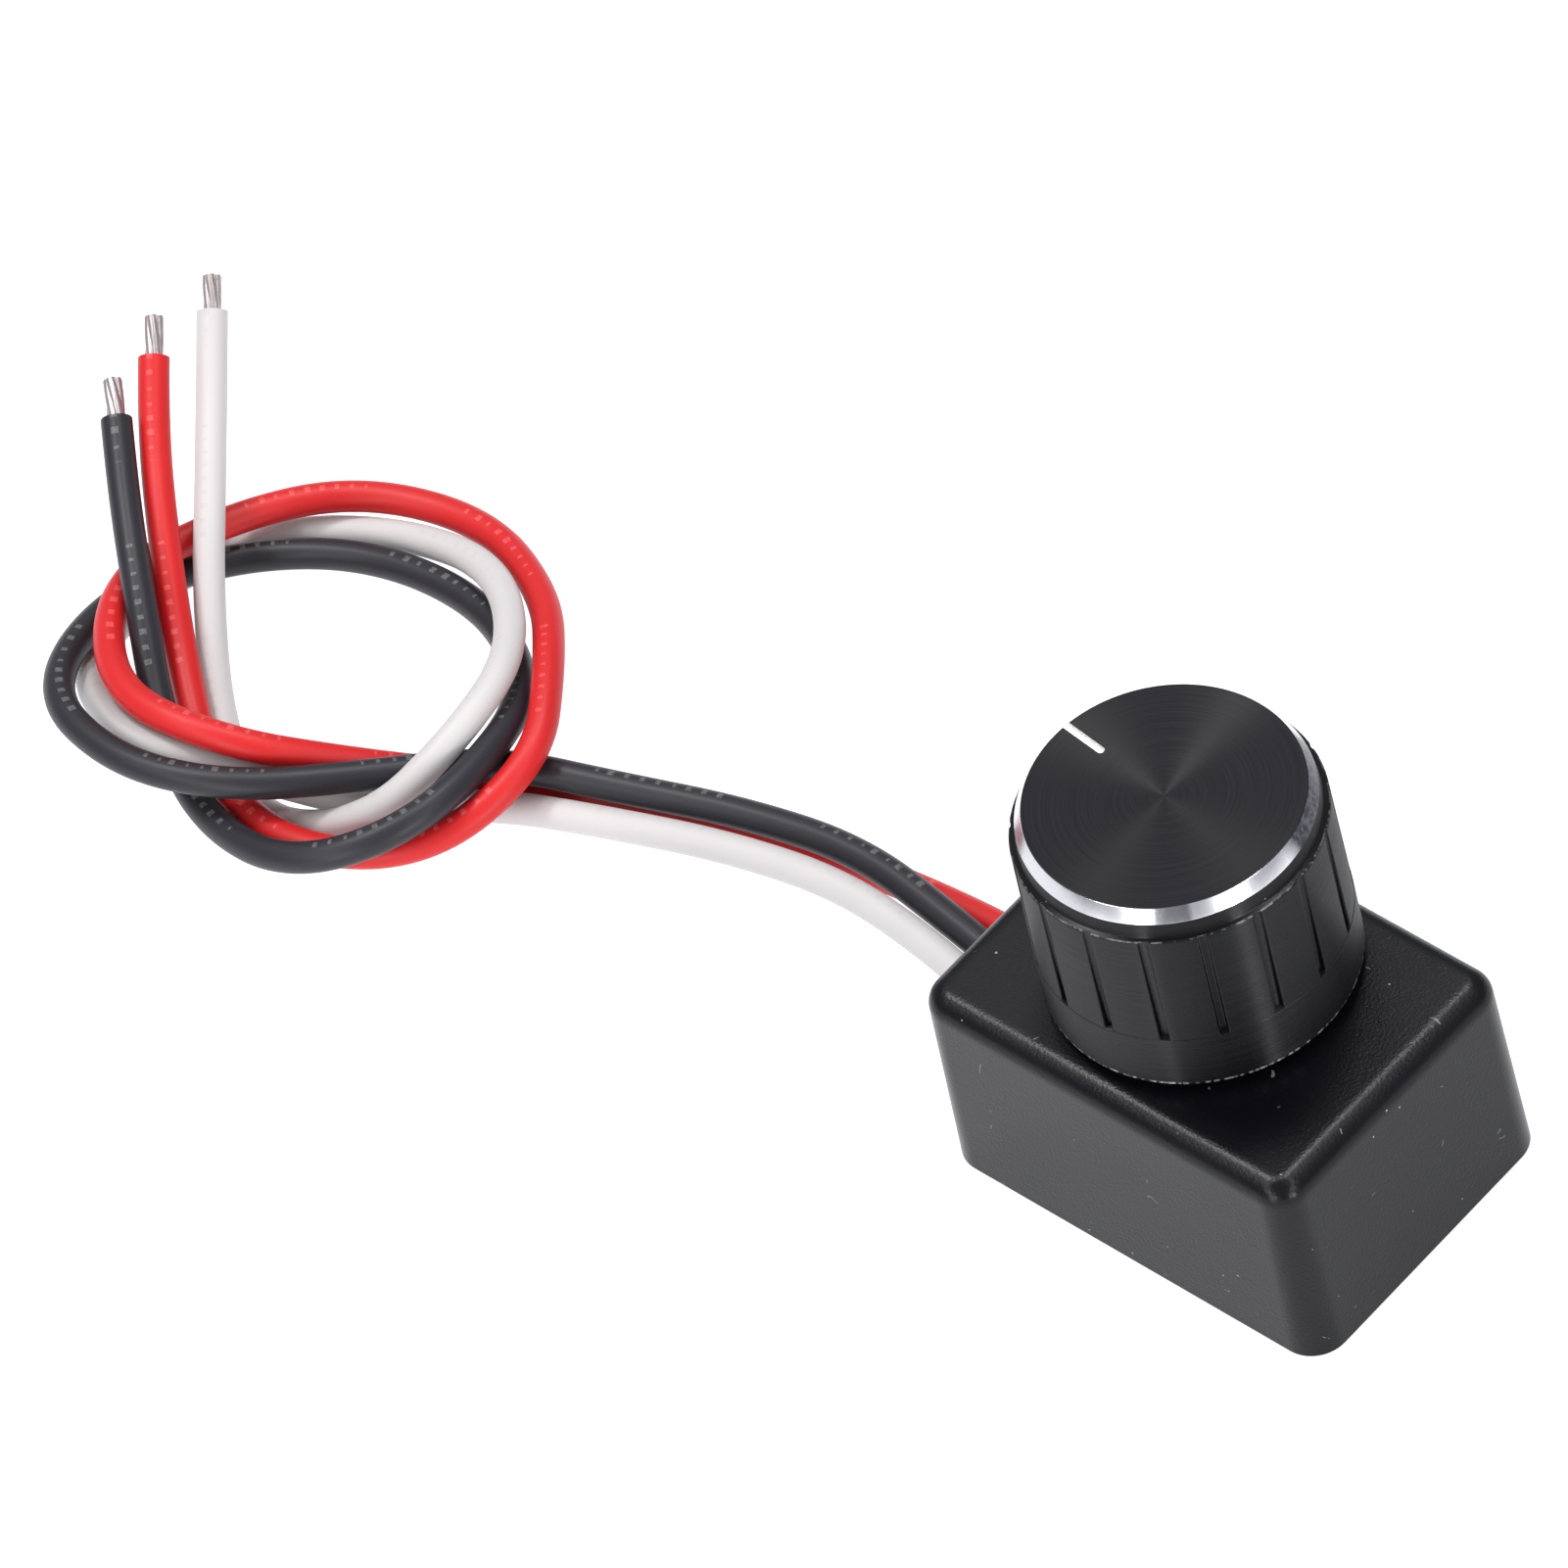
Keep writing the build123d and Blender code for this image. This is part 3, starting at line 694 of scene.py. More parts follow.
def makeCase(shape):
    low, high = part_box("enclosure")
    halfX = (high[0] - low[0]) / 2
    halfY = (high[1] - low[1]) / 2
    top = high[2]
    slope = math.tan(math.radians(shape["draft"]))
    support = shape["support"]

    def ring(inset, height):
        radius = max(shape["corner"] - inset, shape["smallestCorner"])
        steps = shape["cornerSteps"]
        return roundedRectangle(halfX - inset, halfY - inset, radius, height, steps, min(support, radius))

    cavity = shape["wall"]
    ceiling = top - shape["topWall"]
    step = shape["wall"] - shape["coverLedge"]
    foot = shape["footRound"]
    rings = [
        ring(cavity + slope * ceiling, ceiling),
        ring(cavity + slope * shape["coverDepth"], shape["coverDepth"]),
        ring(step, shape["coverDepth"]),
        ring(step, 0.0),
        ring(foot, 0.0),
        ring(slope * foot, foot),
        ring(slope * (foot + support), foot + support),
    ]
    roundStart = top - shape["topRound"]
    wallInset = slope * roundStart
    rings.append(ring(wallInset - slope * support, roundStart - support))
    for index in range(shape["roundSteps"] + 1):
        angle = math.radians(90 * index / shape["roundSteps"])
        inset = wallInset + shape["topRound"] * (1 - math.cos(angle))
        rings.append(ring(inset, roundStart + shape["topRound"] * math.sin(angle)))
    rings.append(ring(wallInset + shape["topRound"] + support, top))
    piece = addPiece("caseShell", loftedMesh("caseShell", rings), finishes["case"])

    holes = bmesh.new()
    for side in (-1, 0, 1):
        start = Vector((low[0] - shape["wall"], side * shape["leadPitch"], shape["leadHeight"]))
        through = Vector((shape["cutterWalls"] * shape["wall"], 0, 0))
        roundBar(holes, start, start + through, shape["leadHole"])
    neck = Vector((knobCentre[0], knobCentre[1], ceiling - shape["topWall"]))
    through = Vector((0, 0, shape["cutterWalls"] * shape["topWall"]))
    roundBar(holes, neck, neck + through, shape["neckHole"])
    holeMesh = bpy.data.meshes.new("caseHoles")
    holes.to_mesh(holeMesh)
    holes.free()
    cutAway(piece, holeMesh, finishes["case"])
    smoothMesh(piece.data, shape["sharpAngle"])
    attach(piece, "case")
    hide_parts("enclosure")
    print("box made:", len(piece.data.polygons), "faces")


makeCase(caseShape)


# Knob

knobShape = {
    "slots": 17,
    "slotWidth": 0.6 * mm,
    "slotDepthTop": 0.11 * mm,
    "slotDepthBottom": 0.45 * mm,
    "slotFloor": 0.6,
    "slotFloorEdge": 0.9,
    "slotEdge": 0.06 * mm,
    "slotEdgeDip": 0.06,
    "slotWallDip": 0.15,
    "skirtHeight": 4.4 * mm,
    "skirtStep": 0.03 * mm,
    "footChamfer": 0.25 * mm,
    "chamferBend": (0.1, 0.7),
    "taper": 0.13 * mm,
    "ledgeHeight": 13.6 * mm,
    "ledgeWidth": 0.54 * mm,
    "edge": 0.12 * mm,
    "smallEdge": 0.04 * mm,
    "roundShare": 0.3,
    "support": 0.15 * mm,
    "ringHeight": 1.1 * mm,
    "ringLean": 0.15 * mm,
    "leanLow": 0.2,
    "leanHigh": 0.1,
    "rimWidth": 0.54 * mm,
    "rimStart": 0.5,
    "rimStop": 1.6,
    "faceMiddle": 0.5,
    "wall": 2.4 * mm,
    "boreRadius": 6.0 * mm,
    "boreStart": 3.6 * mm,
    "topThickness": 2.8 * mm,
    "pointerAngle": 173.6,
    "pointerLength": 3.37 * mm,
    "pointerWidth": 0.5 * mm,
    "pointerDepth": 0.3 * mm,
    "pointerPast": 1.2,
    "pointerSteps": 12,
    "slotSteps": 5,
    "arcSteps": 7,
    "hubShare": 0.02,
    "mergeDistance": 0.002 * mm,
    "sharpAngle": 50,
}


def knobRepeatTree(shape):
    tree = bpy.data.node_groups.new("knobRepeat", "GeometryNodeTree")
    tree.interface.new_socket("Geometry", in_out="INPUT", socket_type="NodeSocketGeometry")
    tree.interface.new_socket("Count", in_out="INPUT", socket_type="NodeSocketInt")
    tree.interface.new_socket("Centre", in_out="INPUT", socket_type="NodeSocketVector")
    for name in ("Body", "Rim", "Face"):
        tree.interface.new_socket(name, in_out="INPUT", socket_type="NodeSocketMaterial")
    tree.interface.new_socket("Geometry", in_out="OUTPUT", socket_type="NodeSocketGeometry")
    graph = Graph(tree)
    given = tree.nodes.new("NodeGroupInput")
    # the last socket of a group's input is a blank one
    sector, count, centre, *coats = [Signal(graph, socket) for socket in given.outputs[:-1]]
    points = graph.add("GeometryNodePoints", {}, {"Count": count, "Position": centre})
    angle = graph.add("GeometryNodeInputIndex") * (2 * math.pi) / count
    turn = graph.add("ShaderNodeCombineXYZ", {}, {"Z": angle})
    placed = {"Points": points, "Instance": sector, "Rotation": turn}
    copies = graph.add("GeometryNodeInstanceOnPoints", {}, placed)
    whole = graph.add("GeometryNodeRealizeInstances", {}, {0: copies})
    seams = {"Geometry": whole, "Distance": shape["mergeDistance"]}
    whole = graph.add("GeometryNodeMergeByDistance", {}, seams)
    zone = graph.add("GeometryNodeInputNamedAttribute", {"data_type": "INT"}, {"Name": "zone"})
    for index, coat in enumerate(coats):
        # inputs 2 and 3 are the node's whole numbers
        equal = {"data_type": "INT", "operation": "EQUAL"}
        chosen = graph.add("FunctionNodeCompare", equal, {2: zone, 3: index})
        coated = {"Geometry": whole, "Selection": chosen, "Material": coat}
        whole = graph.add("GeometryNodeSetMaterial", {}, coated)
    out = tree.nodes.new("NodeGroupOutput")
    tree.links.new(whole.socket, out.inputs[0])
    return tree


def knobProfile(shape):
    # (radius, height, zone of the faces above, slotted) from the bore's ceiling round to the top's middle
    radius = (knobHigh[0] - knobLow[0]) / 2
    foot = knobLow[2]
    top = knobHigh[2]
    body = radius - shape["skirtStep"]
    ledgeRadius = radius - shape["taper"]
    ringRadius = ledgeRadius - shape["ledgeWidth"]
    lean = shape["ringLean"]
    ringFoot = ringRadius + lean
    faceRadius = ringRadius - shape["rimWidth"]
    counterbore = radius - shape["wall"]
    boreStart = foot + shape["boreStart"]
    skirtTop = foot + shape["skirtHeight"]
    ledge = foot + shape["ledgeHeight"]
    ringTop = ledge + shape["ringHeight"]
    edge = shape["edge"]
    small = shape["smallEdge"]
    support = shape["support"]
    chamfer = shape["footChamfer"]
    near, far = [chamfer * share for share in shape["chamferBend"]]
    hub = shape["hubShare"]
    bend = shape["roundShare"]
    return [
        (shape["boreRadius"] * hub, top - shape["topThickness"], 0, False),
        (shape["boreRadius"], top - shape["topThickness"], 0, False),
        (shape["boreRadius"], boreStart, 0, False),
        (counterbore, boreStart, 0, False),
        (counterbore, foot, 0, False),
        (radius - chamfer - small, foot, 0, False),
        (radius - far, foot + near, 0, False),
        (radius - near, foot + far, 0, False),
        (radius, foot + chamfer + small, 0, False),
        (radius, foot + chamfer + support, 0, False),
        (radius, skirtTop - support, 0, False),
        (radius, skirtTop - small, 0, False),
        (radius - shape["skirtStep"] * bend, skirtTop - small * bend, 0, False),
        (body, skirtTop, 0, False),
        (body, skirtTop + small, 0, True),
        (body, skirtTop + support, 0, True),
        (ledgeRadius, ledge - edge - support, 0, True),
        (ledgeRadius, ledge - edge, 0, True),
        (ledgeRadius - edge * bend, ledge - edge * bend, 0, True),
        (ledgeRadius - edge, ledge, 0, True),
        (ringFoot + support, ledge, 0, False),
        (ringFoot + small, ledge, 0, False),
        (ringFoot, ledge + small, 0, False),
        (ringFoot - lean * shape["leanLow"], ledge + support, 0, False),
        (ringRadius + lean * shape["leanHigh"], ringTop - support, 0, False),
        (ringRadius, ringTop - small * shape["rimStart"], 1, False),
        (ringRadius - small * bend, ringTop + small * bend, 1, False),
        (faceRadius + small, top - small * shape["rimStop"], 1, False),
        (faceRadius + small * bend, top - small * bend, 2, False),
        (faceRadius - small, top, 2, False),
        (faceRadius - support, top, 2, False),
        (faceRadius * shape["faceMiddle"], top, 2, False),
        (faceRadius * hub, top, 2, False),
    ]


def knobSector(shape):
    profile = knobProfile(shape)
    half = math.pi / shape["slots"]
    slotHalf = shape["slotWidth"] / 2
    edge = shape["slotEdge"]
    bottom = knobLow[2] + shape["skirtHeight"]
    rise = shape["ledgeHeight"] - shape["skirtHeight"]
    # sideways offset from the slot's middle, and how much of the slot's depth is cut there
    flank = [(slotHalf + 2 * edge, 0.0), (slotHalf + edge, 0.0)]
    flank.append((slotHalf + shape["roundShare"] * edge, shape["slotEdgeDip"]))
    floorHalf = slotHalf * shape["slotFloor"]
    dip = shape["slotWallDip"]
    for step in range(shape["slotSteps"]):
        turn = math.radians(90 * step / shape["slotSteps"])
        offset = floorHalf + (slotHalf - floorHalf) * math.cos(turn)
        flank.append((offset, dip + (1 - dip) * math.sin(turn)))
    flank.append((floorHalf * shape["slotFloorEdge"], 1.0))
    columns = flank + [(0.0, 1.0)] + [(-offset, share) for offset, share in reversed(flank)]
    reference = (knobHigh[0] - knobLow[0]) / 2
    angles = [(math.asin(offset / reference), share) for offset, share in columns]
    edgeAngle = angles[0][0]
    arc = [half - (half - edgeAngle) * step / shape["arcSteps"] for step in range(shape["arcSteps"])]
    angles = [(angle, 0.0) for angle in arc] + angles + [(-angle, 0.0) for angle in reversed(arc)]
    points = []
    for radius, height, zone, slotted in profile:
        risen = min(max((height - bottom) / rise, 0.0), 1.0)
        depth = shape["slotDepthBottom"] * (1 - risen) + shape["slotDepthTop"] * risen
        wallRadius = reference - shape["skirtStep"] - (shape["taper"] - shape["skirtStep"]) * risen
        for angle, share in angles:
            reach = min(radius, wallRadius - depth * share) if slotted else radius
            points.append((reach * math.cos(angle), reach * math.sin(angle), height))
    count = len(angles)
    faces = []
    zones = []
    for level in range(len(profile) - 1):
        for index in range(count - 1):
            lower = level * count + index
            upper = lower + count
            faces.append((lower + 1, lower, upper, upper + 1))
            zones.append(profile[level][2])
    mesh = bpy.data.meshes.new("knobSector")
    mesh.from_pydata(points, [], faces)
    marks = mesh.attributes.new("zone", "INT", "FACE")
    for mark, zone in zip(marks.data, zones):
        mark.value = zone
    return mesh


def closeCentres(mesh):
    # fills the small rings left at the axis
    skin = bmesh.new()
    skin.from_mesh(mesh)
    openEdges = [edge for edge in skin.edges if edge.is_boundary]
    bmesh.ops.holes_fill(skin, edges=openEdges, sides=0)
    for face in skin.faces:
        if len(face.verts) > 4:
            neighbours = [linked for edge in face.edges for linked in edge.link_faces if linked != face]
            face.material_index = neighbours[0].material_index
    bmesh.ops.recalc_face_normals(skin, faces=skin.faces)
    skin.to_mesh(mesh)
    skin.free()


def makeKnob(shape):
    piece = addPiece("knobShell", knobSector(shape))
    turned = Matrix.Rotation(math.radians(shape["pointerAngle"]), 4, "Z")
    piece.data.transform(turned)
    values = {
        "Count": shape["slots"],
        "Centre": knobCentre,
        "Body": finishes["anodised"],
        "Rim": finishes["rim"],
        "Face": finishes["spun"],
    }
    growNodes(piece, knobRepeatTree(shape), values)
    bakedMesh(piece)
    closeCentres(piece.data)

    # the pointer's groove, round at its inner end and open through the rim
    setBack = shape["taper"] + shape["ledgeWidth"] + shape["rimWidth"]
    faceRadius = (knobHigh[0] - knobLow[0]) / 2 - setBack
    inner = faceRadius - shape["pointerLength"]
    halfWidth = shape["pointerWidth"] / 2
    outline = []
    for step in range(shape["pointerSteps"] + 1):
        angle = math.radians(90 + 180 * step / shape["pointerSteps"])
        outline.append((inner + halfWidth + halfWidth * math.cos(angle), halfWidth * math.sin(angle)))
    outer = faceRadius * shape["pointerPast"]
    outline += [(outer, -halfWidth), (outer, halfWidth)]
    place = Matrix.Translation(Vector(knobCentre)) @ turned
    floor = knobHigh[2] - shape["pointerDepth"]
    rings = [
        [place @ Vector((x, y, height)) for x, y in outline]
        for height in (floor, knobHigh[2] + shape["pointerDepth"])
    ]
    cutAway(piece, loftedMesh("pointerCutter", rings), finishes["pointer"])
    smoothMesh(piece.data, shape["sharpAngle"])
    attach(piece, "knob")
    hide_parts("knob_shell")
    print("knob made:", len(piece.data.polygons), "faces")


makeKnob(knobShape)


# Leads

leadShape = {
    "diameter": 2.1 * mm,
    "exitX": -15.25,
    "strip": {"black": 2.8, "white": 2.4, "red": 2.8},
    "stepsAlong": 14,
    "stepsRound": 10,
}

leadRoutes = {
    "black": [
        (-12.5, 0.0, 4.2),
        (-17.0, 0.0, 4.2),
        (-24.3, 1.1, 4.4),
        (-33.0, 2.3, 4.3),
        (-41.9, 0.9, 3.7),
        (-50.6, -1.9, 3.4),
        (-58.8, -4.8, 3.7),
        (-63.7, -11.6, 5.7),
        (-69.7, -17.7, 6.9),
        (-77.5, -20.2, 7.0),
        (-86.1, -18.0, 6.4),
        (-89.5, -8.3, 4.1),
        (-85.9, 0.2, 2.1),
        (-78.3, 4.6, 2.5),
        (-68.9, 5.1, 3.2),
        (-61.6, 1.7, 4.2),
        (-57.6, -3.8, 6.2),
        (-56.7, -13.8, 7.3),
        (-62.7, -19.8, 5.5),
        (-72.1, -18.7, 3.3),
        (-79.0, -14.7, 4.6),
        (-84.7, -9.5, 8.3),
        (-90.5, -4.3, 10.1),
        (-93.7, -1.0, 11.7),
    ],
    "white": [
        (-12.5, -2.6, 4.2),
        (-17.0, -2.6, 4.2),
        (-23.7, -1.3, 4.6),
        (-32.2, -0.5, 4.4),
        (-41.1, -1.7, 3.5),
        (-49.7, -4.0, 2.6),
        (-57.2, -6.3, 1.8),
        (-64.0, -11.2, 2.1),
        (-70.0, -14.9, 5.0),
        (-77.7, -18.3, 6.9),
        (-88.1, -13.8, 2.8),
        (-90.0, -4.2, 1.0),
        (-86.0, 3.4, 1.2),
        (-77.8, 7.2, 2.4),
        (-68.5, 6.9, 5.1),
        (-60.9, 1.0, 7.6),
        (-59.1, -6.3, 7.8),
        (-61.3, -13.7, 4.6),
        (-70.2, -15.9, 0.8),
        (-77.9, -11.2, 1.5),
        (-83.3, -5.4, 4.8),
        (-87.4, 0.3, 8.3),
        (-91.7, 5.7, 10.3),
        (-94.1, 9.0, 12.5),
    ],
    "red": [
        (-12.5, 2.6, 4.2),
        (-17.0, 2.6, 4.2),
        (-25.3, 3.1, 2.8),
        (-34.1, 2.8, 1.6),
        (-43.1, 0.9, 1.2),
        (-51.7, -2.0, 1.1),
        (-59.9, -5.0, 1.4),
        (-65.8, -10.6, 4.7),
        (-71.7, -15.9, 8.4),
        (-81.1, -16.5, 8.1),
        (-88.7, -8.5, 6.3),
        (-87.0, 0.5, 4.7),
        (-82.2, 7.6, 3.6),
        (-73.1, 10.3, 3.5),
        (-64.4, 7.0, 4.8),
        (-59.0, 1.8, 6.4),
        (-54.5, -4.5, 6.0),
        (-56.7, -13.1, 4.1),
        (-64.5, -17.8, 3.9),
        (-74.2, -15.6, 2.7),
        (-81.2, -10.3, 4.2),
        (-87.0, -4.8, 8.0),
        (-92.2, 0.5, 10.3),
        (-94.8, 4.0, 12.3),
    ],
}

strandShape = {
    "count": 5,
    "layRadius": 0.27 * mm,
    "flare": 1.2,
    "strandRadius": 0.34 * mm,
    "coreRadius": 0.4 * mm,
    "turns": 0.2,
    "endShrink": 0.45,
    "endSharpness": 24.0,
    "stepsAlong": 32,
    "stepsRound": 12,
    "coreSteps": 24,
    "sharpAngle": 50,
}


def strandTree(shape):
    tree = bpy.data.node_groups.new("strandTwist", "GeometryNodeTree")
    sockets = ("Lay Radius", "End Radius", "Strand Radius", "Core Radius", "Turns", "Length")
    tree.interface.new_socket("Geometry", in_out="INPUT", socket_type="NodeSocketGeometry")
    tree.interface.new_socket("Count", in_out="INPUT", socket_type="NodeSocketInt")
    for name in sockets:
        tree.interface.new_socket(name, in_out="INPUT", socket_type="NodeSocketFloat")
    tree.interface.new_socket("Coat", in_out="INPUT", socket_type="NodeSocketMaterial")
    tree.interface.new_socket("Geometry", in_out="OUTPUT", socket_type="NodeSocketGeometry")
    graph = Graph(tree)
    given = tree.nodes.new("NodeGroupInput")
    signals = [Signal(graph, socket) for socket in given.outputs[:-1]]
    count, layRadius, endRadius, strandRadius, coreRadius, turns, length, coat = signals[1:]
    spiral = {
        "Resolution": shape["stepsAlong"],
        "Rotations": turns,
        "Start Radius": layRadius,
        "End Radius": endRadius,
        "Height": length,
    }
    twist = graph.add("GeometryNodeCurveSpiral", {}, spiral)
    angle = graph.add("GeometryNodeInputIndex") * (2 * math.pi) / count
    turn = graph.add("ShaderNodeCombineXYZ", {}, {"Z": angle})
    points = graph.add("GeometryNodePoints", {}, {"Count": count})
    placed = {"Points": points, "Instance": twist, "Rotation": turn}
    strands = graph.add("GeometryNodeInstanceOnPoints", {}, placed)
    strands = graph.add("GeometryNodeRealizeInstances", {}, {0: strands})
    # each lobe rounds off at its cut end
    share = graph.add("GeometryNodeSplineParameter")
    rounding = 1 - shape["endShrink"] * share ** shape["endSharpness"]
    strands = graph.add("GeometryNodeSetCurveRadius", {}, {"Curve": strands, "Radius": rounding})
    circle = {"Resolution": shape["stepsRound"], "Radius": strandRadius}
    section = graph.add("GeometryNodeCurvePrimitiveCircle", {}, circle)
    skin = {"Curve": strands, "Profile Curve": section, "Fill Caps": True}
    strands = graph.add("GeometryNodeCurveToMesh", {}, skin)
    tip = graph.add("ShaderNodeCombineXYZ", {}, {"Z": length})
    middle = graph.add("GeometryNodeCurvePrimitiveLine", {}, {"End": tip})
    circle = {"Resolution": shape["coreSteps"], "Radius": coreRadius}
    section = graph.add("GeometryNodeCurvePrimitiveCircle", {}, circle)
    skin = {"Curve": middle, "Profile Curve": section, "Fill Caps": True}
    core = graph.add("GeometryNodeCurveToMesh", {}, skin)
    joined = graph.add("GeometryNodeJoinGeometry", {}, {0: strands})
    tree.links.new(core.socket, joined.socket.node.inputs[0])
    whole = graph.add("GeometryNodeRealizeInstances", {}, {0: joined})
    whole = graph.add("GeometryNodeSetMaterial", {}, {"Geometry": whole, "Material": coat})
    out = tree.nodes.new("NodeGroupOutput")
    tree.links.new(whole.socket, out.inputs[0])
    return tree


def makeStrands(colour, start, direction, length, tree, shape):
    piece = addPiece(colour + "Strands", bpy.data.meshes.new(colour + "Strands"))
    values = {
        "Count": shape["count"],
        "Lay Radius": shape["layRadius"],
        "End Radius": shape["layRadius"] * shape["flare"],
        "Strand Radius": shape["strandRadius"],
        "Core Radius": shape["coreRadius"],
        "Turns": shape["turns"],
        "Length": length,
        "Coat": finishes["tinned"],
    }
    growNodes(piece, tree, values)
    mesh = bakedMesh(piece)
    turn = direction.to_track_quat("Z", "Y").to_matrix().to_4x4()
    mesh.transform(Matrix.Translation(start) @ turn)
    smoothMesh(mesh, shape["sharpAngle"])
    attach(piece, "case")
    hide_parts(colour + "_strands")
    return piece


def makeLead(colour, tree, shape):
    route = [Vector(point) * mm for point in leadRoutes[colour]]
    curve = bpy.data.curves.new(colour + "Wire", "CURVE")
    curve.dimensions = "3D"
    spline = curve.splines.new("NURBS")
    spline.points.add(len(route) - 1)
    for point, place in zip(spline.points, route):
        point.co = (*place, 1.0)
    spline.order_u = 3
    spline.use_endpoint_u = True
    spline.resolution_u = shape["stepsAlong"]
    curve.bevel_depth = shape["diameter"] / 2
    curve.bevel_resolution = shape["stepsRound"]
    curve.use_fill_caps = True
    piece = addPiece(colour + "Wire", curve, finishes[colour])
    direction = (route[-1] - route[-2]).normalized()
    bare = shape["strip"][colour] * mm
    strands = makeStrands(colour, route[-1], direction, bare, tree, strandShape)
    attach(piece, "case")
    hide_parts(colour + "_wire")
    "silicone_" + colour
    print(colour, "lead laid")


twistTree = strandTree(strandShape)
for leadColour in leadRoutes:
    makeLead(leadColour, twistTree, leadShape)


# Pieces that keep their own shape

nodeFinishes = {
    "base_cover": "case",
    "circuit_board": "board",
    "pot_housing": "brown",
    "pot_element": "brown",
    "pot_rotor": "brown",
    "pot_terminal_1": "tinned",
    "pot_terminal_2": "tinned",
    "pot_terminal_3": "tinned",
    "pot_bushing": "plated",
    "pot_washer": "plated",
    "pot_nut": "plated",
    "pot_shaft": "aluminium",
    "pot_wiper": "brass",
    "knob_insert": "core",
    "timer_chip": "epoxy",
    "filter_capacitor": "aluminium",
    "power_transistor": "epoxy",
    "regulator": "epoxy",
    "diode": "epoxy",
    "resistor_1": "epoxy",
    "resistor_2": "epoxy",
    "resistor_3": "epoxy",
    "ceramic_1": "ceramic",
    "ceramic_2": "ceramic",
    "ceramic_3": "ceramic",
    "black_solder": "tinned",
    "white_solder": "tinned",
    "red_solder": "tinned",
}
for nodeName, finishName in nodeFinishes.items():
    nodes[nodeName].material_slots[0].material = finishes[finishName]
print("nodes dressed:", len(nodeFinishes))


# Stage, light and camera

stageSetup = {
    "floorSize": 1.4,
    "floorShade": 0.38,
    "floorRoughness": 0.9,
    "floorSpecular": 0.1,
    "floorGlow": 0.75,
    "paperDim": (0.91, 0.92, 0.97, 1.0),
    "paperBright": (1.2, 1.21, 1.28, 1.0),
    # the floor's glow is painted brighter towards this side, over this reach
    "windowSide": (-0.6, -0.8),
    "windowReach": 0.08,
    "dome": [
        (0.0, (0.34, 0.35, 0.38)),
        (0.3, (0.34, 0.35, 0.38)),
        (0.6, (0.46, 0.47, 0.5)),
        (1.0, (0.52, 0.53, 0.56)),
    ],
}

softboxes = [
    {"name": "leftBox", "place": (-0.405, -0.016, 0.826), "size": (0.16, 0.16), "power": 2.8},
    {"name": "rightBox", "place": (-0.163, 0.327, 0.844), "size": (0.15, 0.15), "power": 2.35},
    {
        "name": "leftBridge",
        "place": (-0.311, -0.29, 0.678),
        "along": (0.125, -0.62, -0.208),
        "size": (0.07, 0.53),
        "power": 1.3,
    },
    {
        "name": "rightBridge",
        "place": (0.234, 0.22, 0.733),
        "along": (0.762, -0.179, -0.19),
        "size": (0.07, 0.64),
        "power": 1.3,
    },
    {
        "name": "leftStrip",
        "place": (0.015, -0.701, 0.386),
        "along": (0.641, -0.273, -0.521),
        "size": (0.07, 0.75),
        "power": 2.3,
    },
    {
        "name": "rightStrip",
        "place": (0.698, -0.033, 0.39),
        "along": (0.309, -0.401, -0.587),
        "size": (0.07, 0.65),
        "power": 1.8,
    },
    {"name": "leftBand", "place": (0.243, -0.738, 0.088), "size": (0.05, 0.13), "power": 0.9},
    {"name": "rightBand", "place": (0.757, -0.174, 0.088), "size": (0.07, 0.13), "power": 1.5},
    {"name": "backCard", "place": (-0.45, 0.34, 0.64), "size": (0.5, 0.5), "power": 0.42},
]


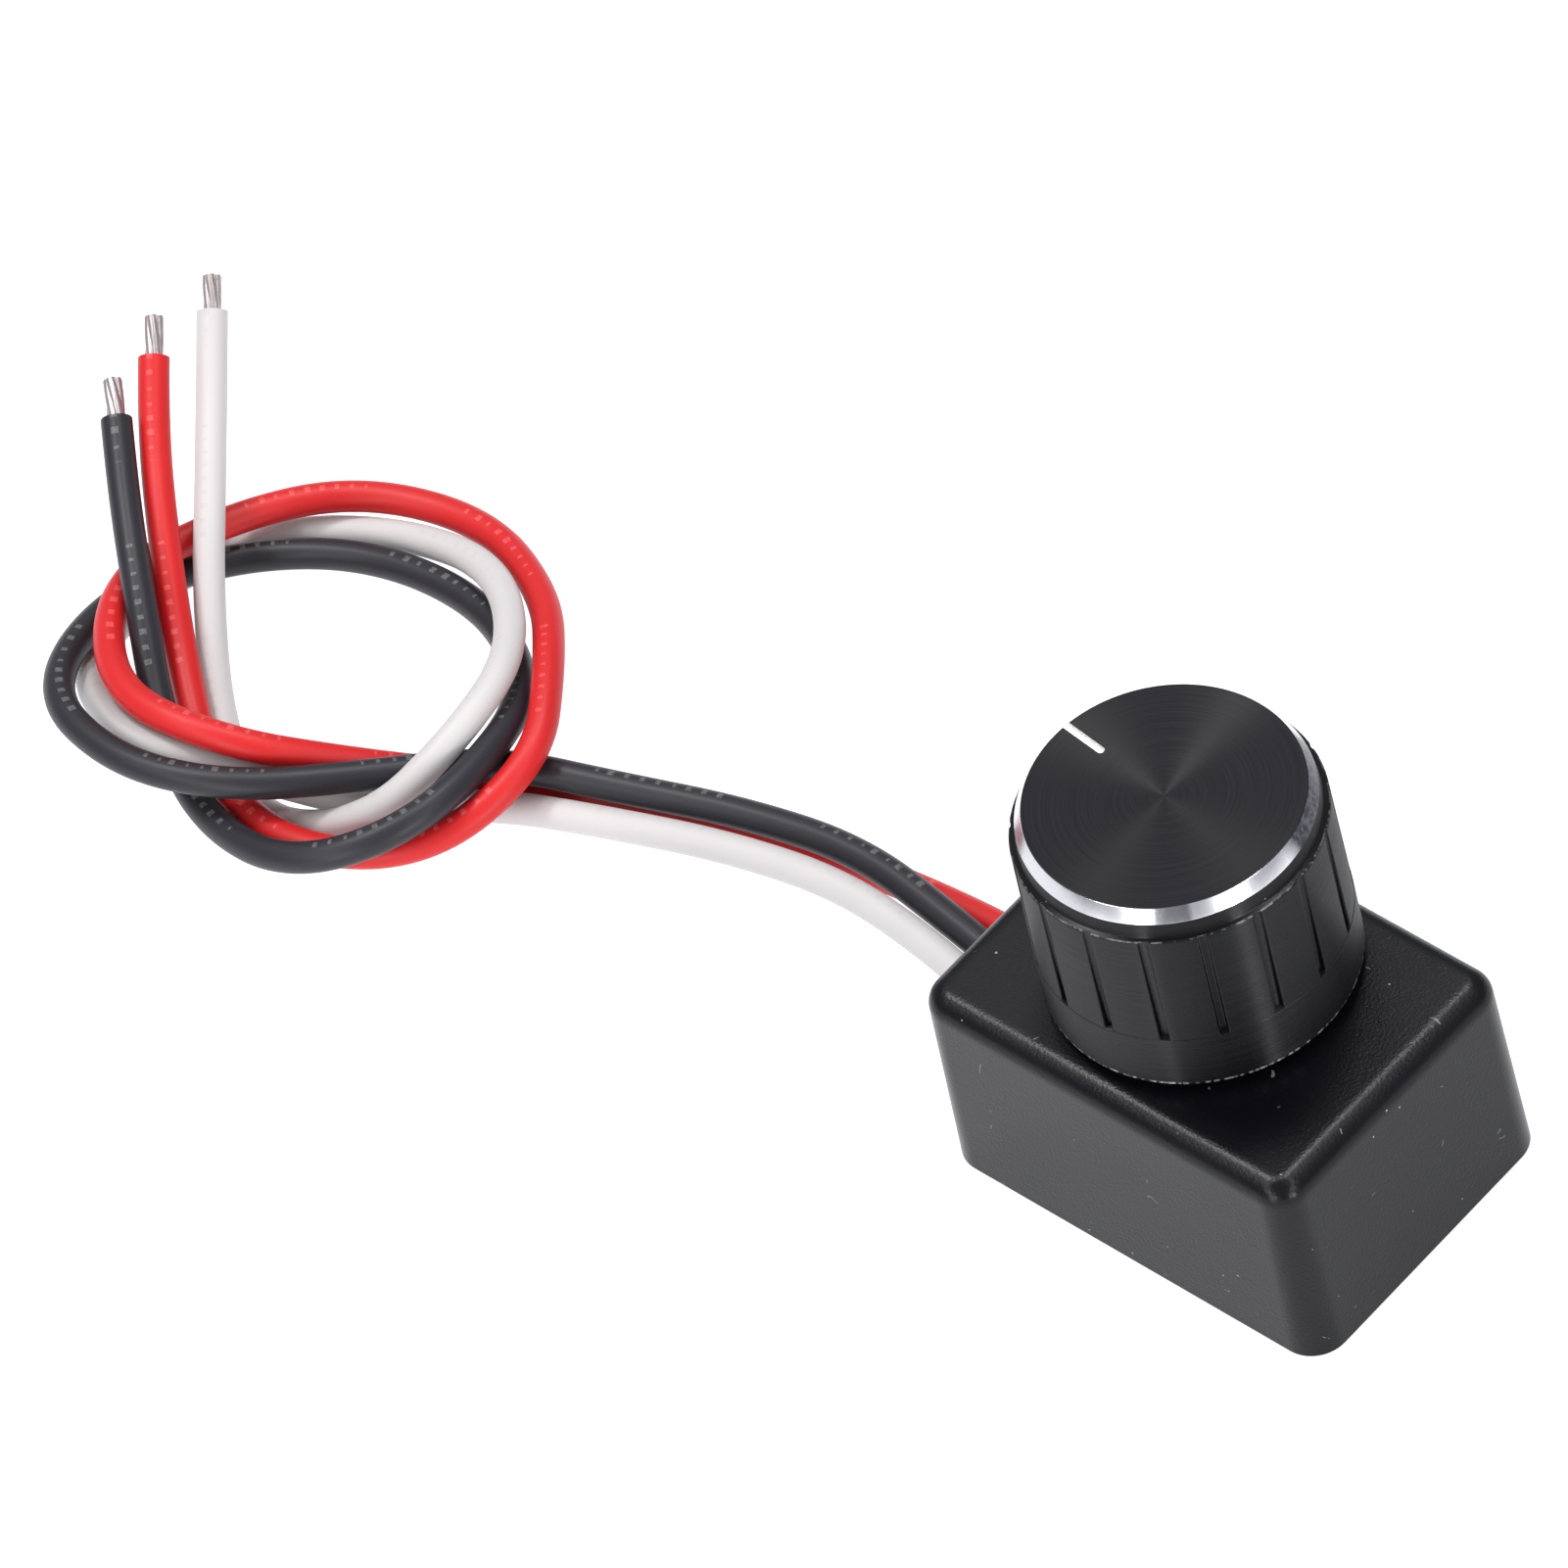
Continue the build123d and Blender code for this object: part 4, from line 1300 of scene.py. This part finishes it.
def makeStage(setup):
    half = setup["floorSize"] / 2
    mesh = bpy.data.meshes.new("floor")
    corners = [(-half, -half, 0), (half, -half, 0), (half, half, 0), (-half, half, 0)]
    mesh.from_pydata(corners, [], [(0, 1, 2, 3)])
    paper = Finish("floorPaper")
    shade = setup["floorShade"]
    # painted light: the paper's glow is painted a little brighter on the window side
    place = paper.place()
    towardsX, towardsY = setup["windowSide"]
    sideways = paper.part(place, "X") * towardsX + paper.part(place, "Y") * towardsY
    paintedWindowLight = paper.ramp(sideways / setup["windowReach"] + 0.5, [(0.0, 0.0), (1.0, 1.0)])
    material = paper.surface(
        Base_Color=(shade, shade, shade, 1),
        Roughness=setup["floorRoughness"],
        Specular_IOR_Level=setup["floorSpecular"],
        Emission_Color=paper.tint(paintedWindowLight, setup["paperDim"], setup["paperBright"]),
        Emission_Strength=setup["floorGlow"],
    )
    addPiece("floor", mesh, material)
    world = bpy.data.worlds.new("studio")
    bpy.context.scene.world = world
    world.use_nodes = True
    world.node_tree.nodes.clear()
    # the dome is darker near the horizon
    sky = Graph(world.node_tree)
    direction = sky.add("ShaderNodeTexCoord", output="Generated")
    height = sky.add("ShaderNodeSeparateXYZ", {}, {0: direction}, "Z")
    shine = sky.add("ShaderNodeValToRGB", {"stops": setup["dome"]}, {"Fac": height})
    glow = sky.add("ShaderNodeBackground", {}, {"Color": shine})
    sky.add("ShaderNodeOutputWorld", {}, {"Surface": glow})


def makeSoftbox(box):
    light = bpy.data.lights.new(box["name"], "AREA")
    light.shape = "RECTANGLE"
    light.size, light.size_y = box["size"]
    light.energy = box["power"]
    lamp = bpy.data.objects.new(box["name"], light)
    bpy.context.scene.collection.objects.link(lamp)
    lamp.visible_camera = False
    place = Vector(box["place"])
    back = place.normalized()
    side = Vector(box.get("along", (0, 0, 1))).cross(back).normalized()
    turn = Matrix((side, back.cross(side), back)).transposed().to_4x4()
    lamp.matrix_world = Matrix.Translation(place) @ turn


viewpoint = {
    "azimuth": 52.9544,
    "elevation": 48.5366,
    "roll": -15.3408,
    "target": (-32.851, -2.371, 15.8),
    "distance": 855.107,
    "focalPixels": 14000,
    "framePixels": 1601,
    "sensor": 36.0,
    "nearest": 0.05,
    "farthest": 20.0,
}


def makeCamera(view):
    azimuth = math.radians(view["azimuth"])
    elevation = math.radians(view["elevation"])
    roll = math.radians(view["roll"])
    back = Vector(
        (
            math.sin(azimuth) * math.cos(elevation),
            -math.cos(azimuth) * math.cos(elevation),
            math.sin(elevation),
        )
    )
    level = Vector((math.cos(azimuth), math.sin(azimuth), 0.0))
    upright = back.cross(level)
    right = math.cos(roll) * level + math.sin(roll) * upright
    up = math.cos(roll) * upright - math.sin(roll) * level
    camera = bpy.data.cameras.new("camera")
    camera.sensor_width = view["sensor"]
    camera.lens = view["sensor"] * view["focalPixels"] / view["framePixels"]
    camera.clip_start = view["nearest"]
    camera.clip_end = view["farthest"]
    lens = bpy.data.objects.new("camera", camera)
    bpy.context.scene.collection.objects.link(lens)
    turn = Matrix((right, up, back)).transposed().to_4x4()
    place = (Vector(view["target"]) + view["distance"] * back) * mm
    lens.matrix_world = Matrix.Translation(place) @ turn
    bpy.context.scene.camera = lens


makeStage(stageSetup)
for softbox in softboxes:
    makeSoftbox(softbox)
makeCamera(viewpoint)
bpy.context.scene.view_settings.view_transform = "Standard"
print("stage, light and camera set")
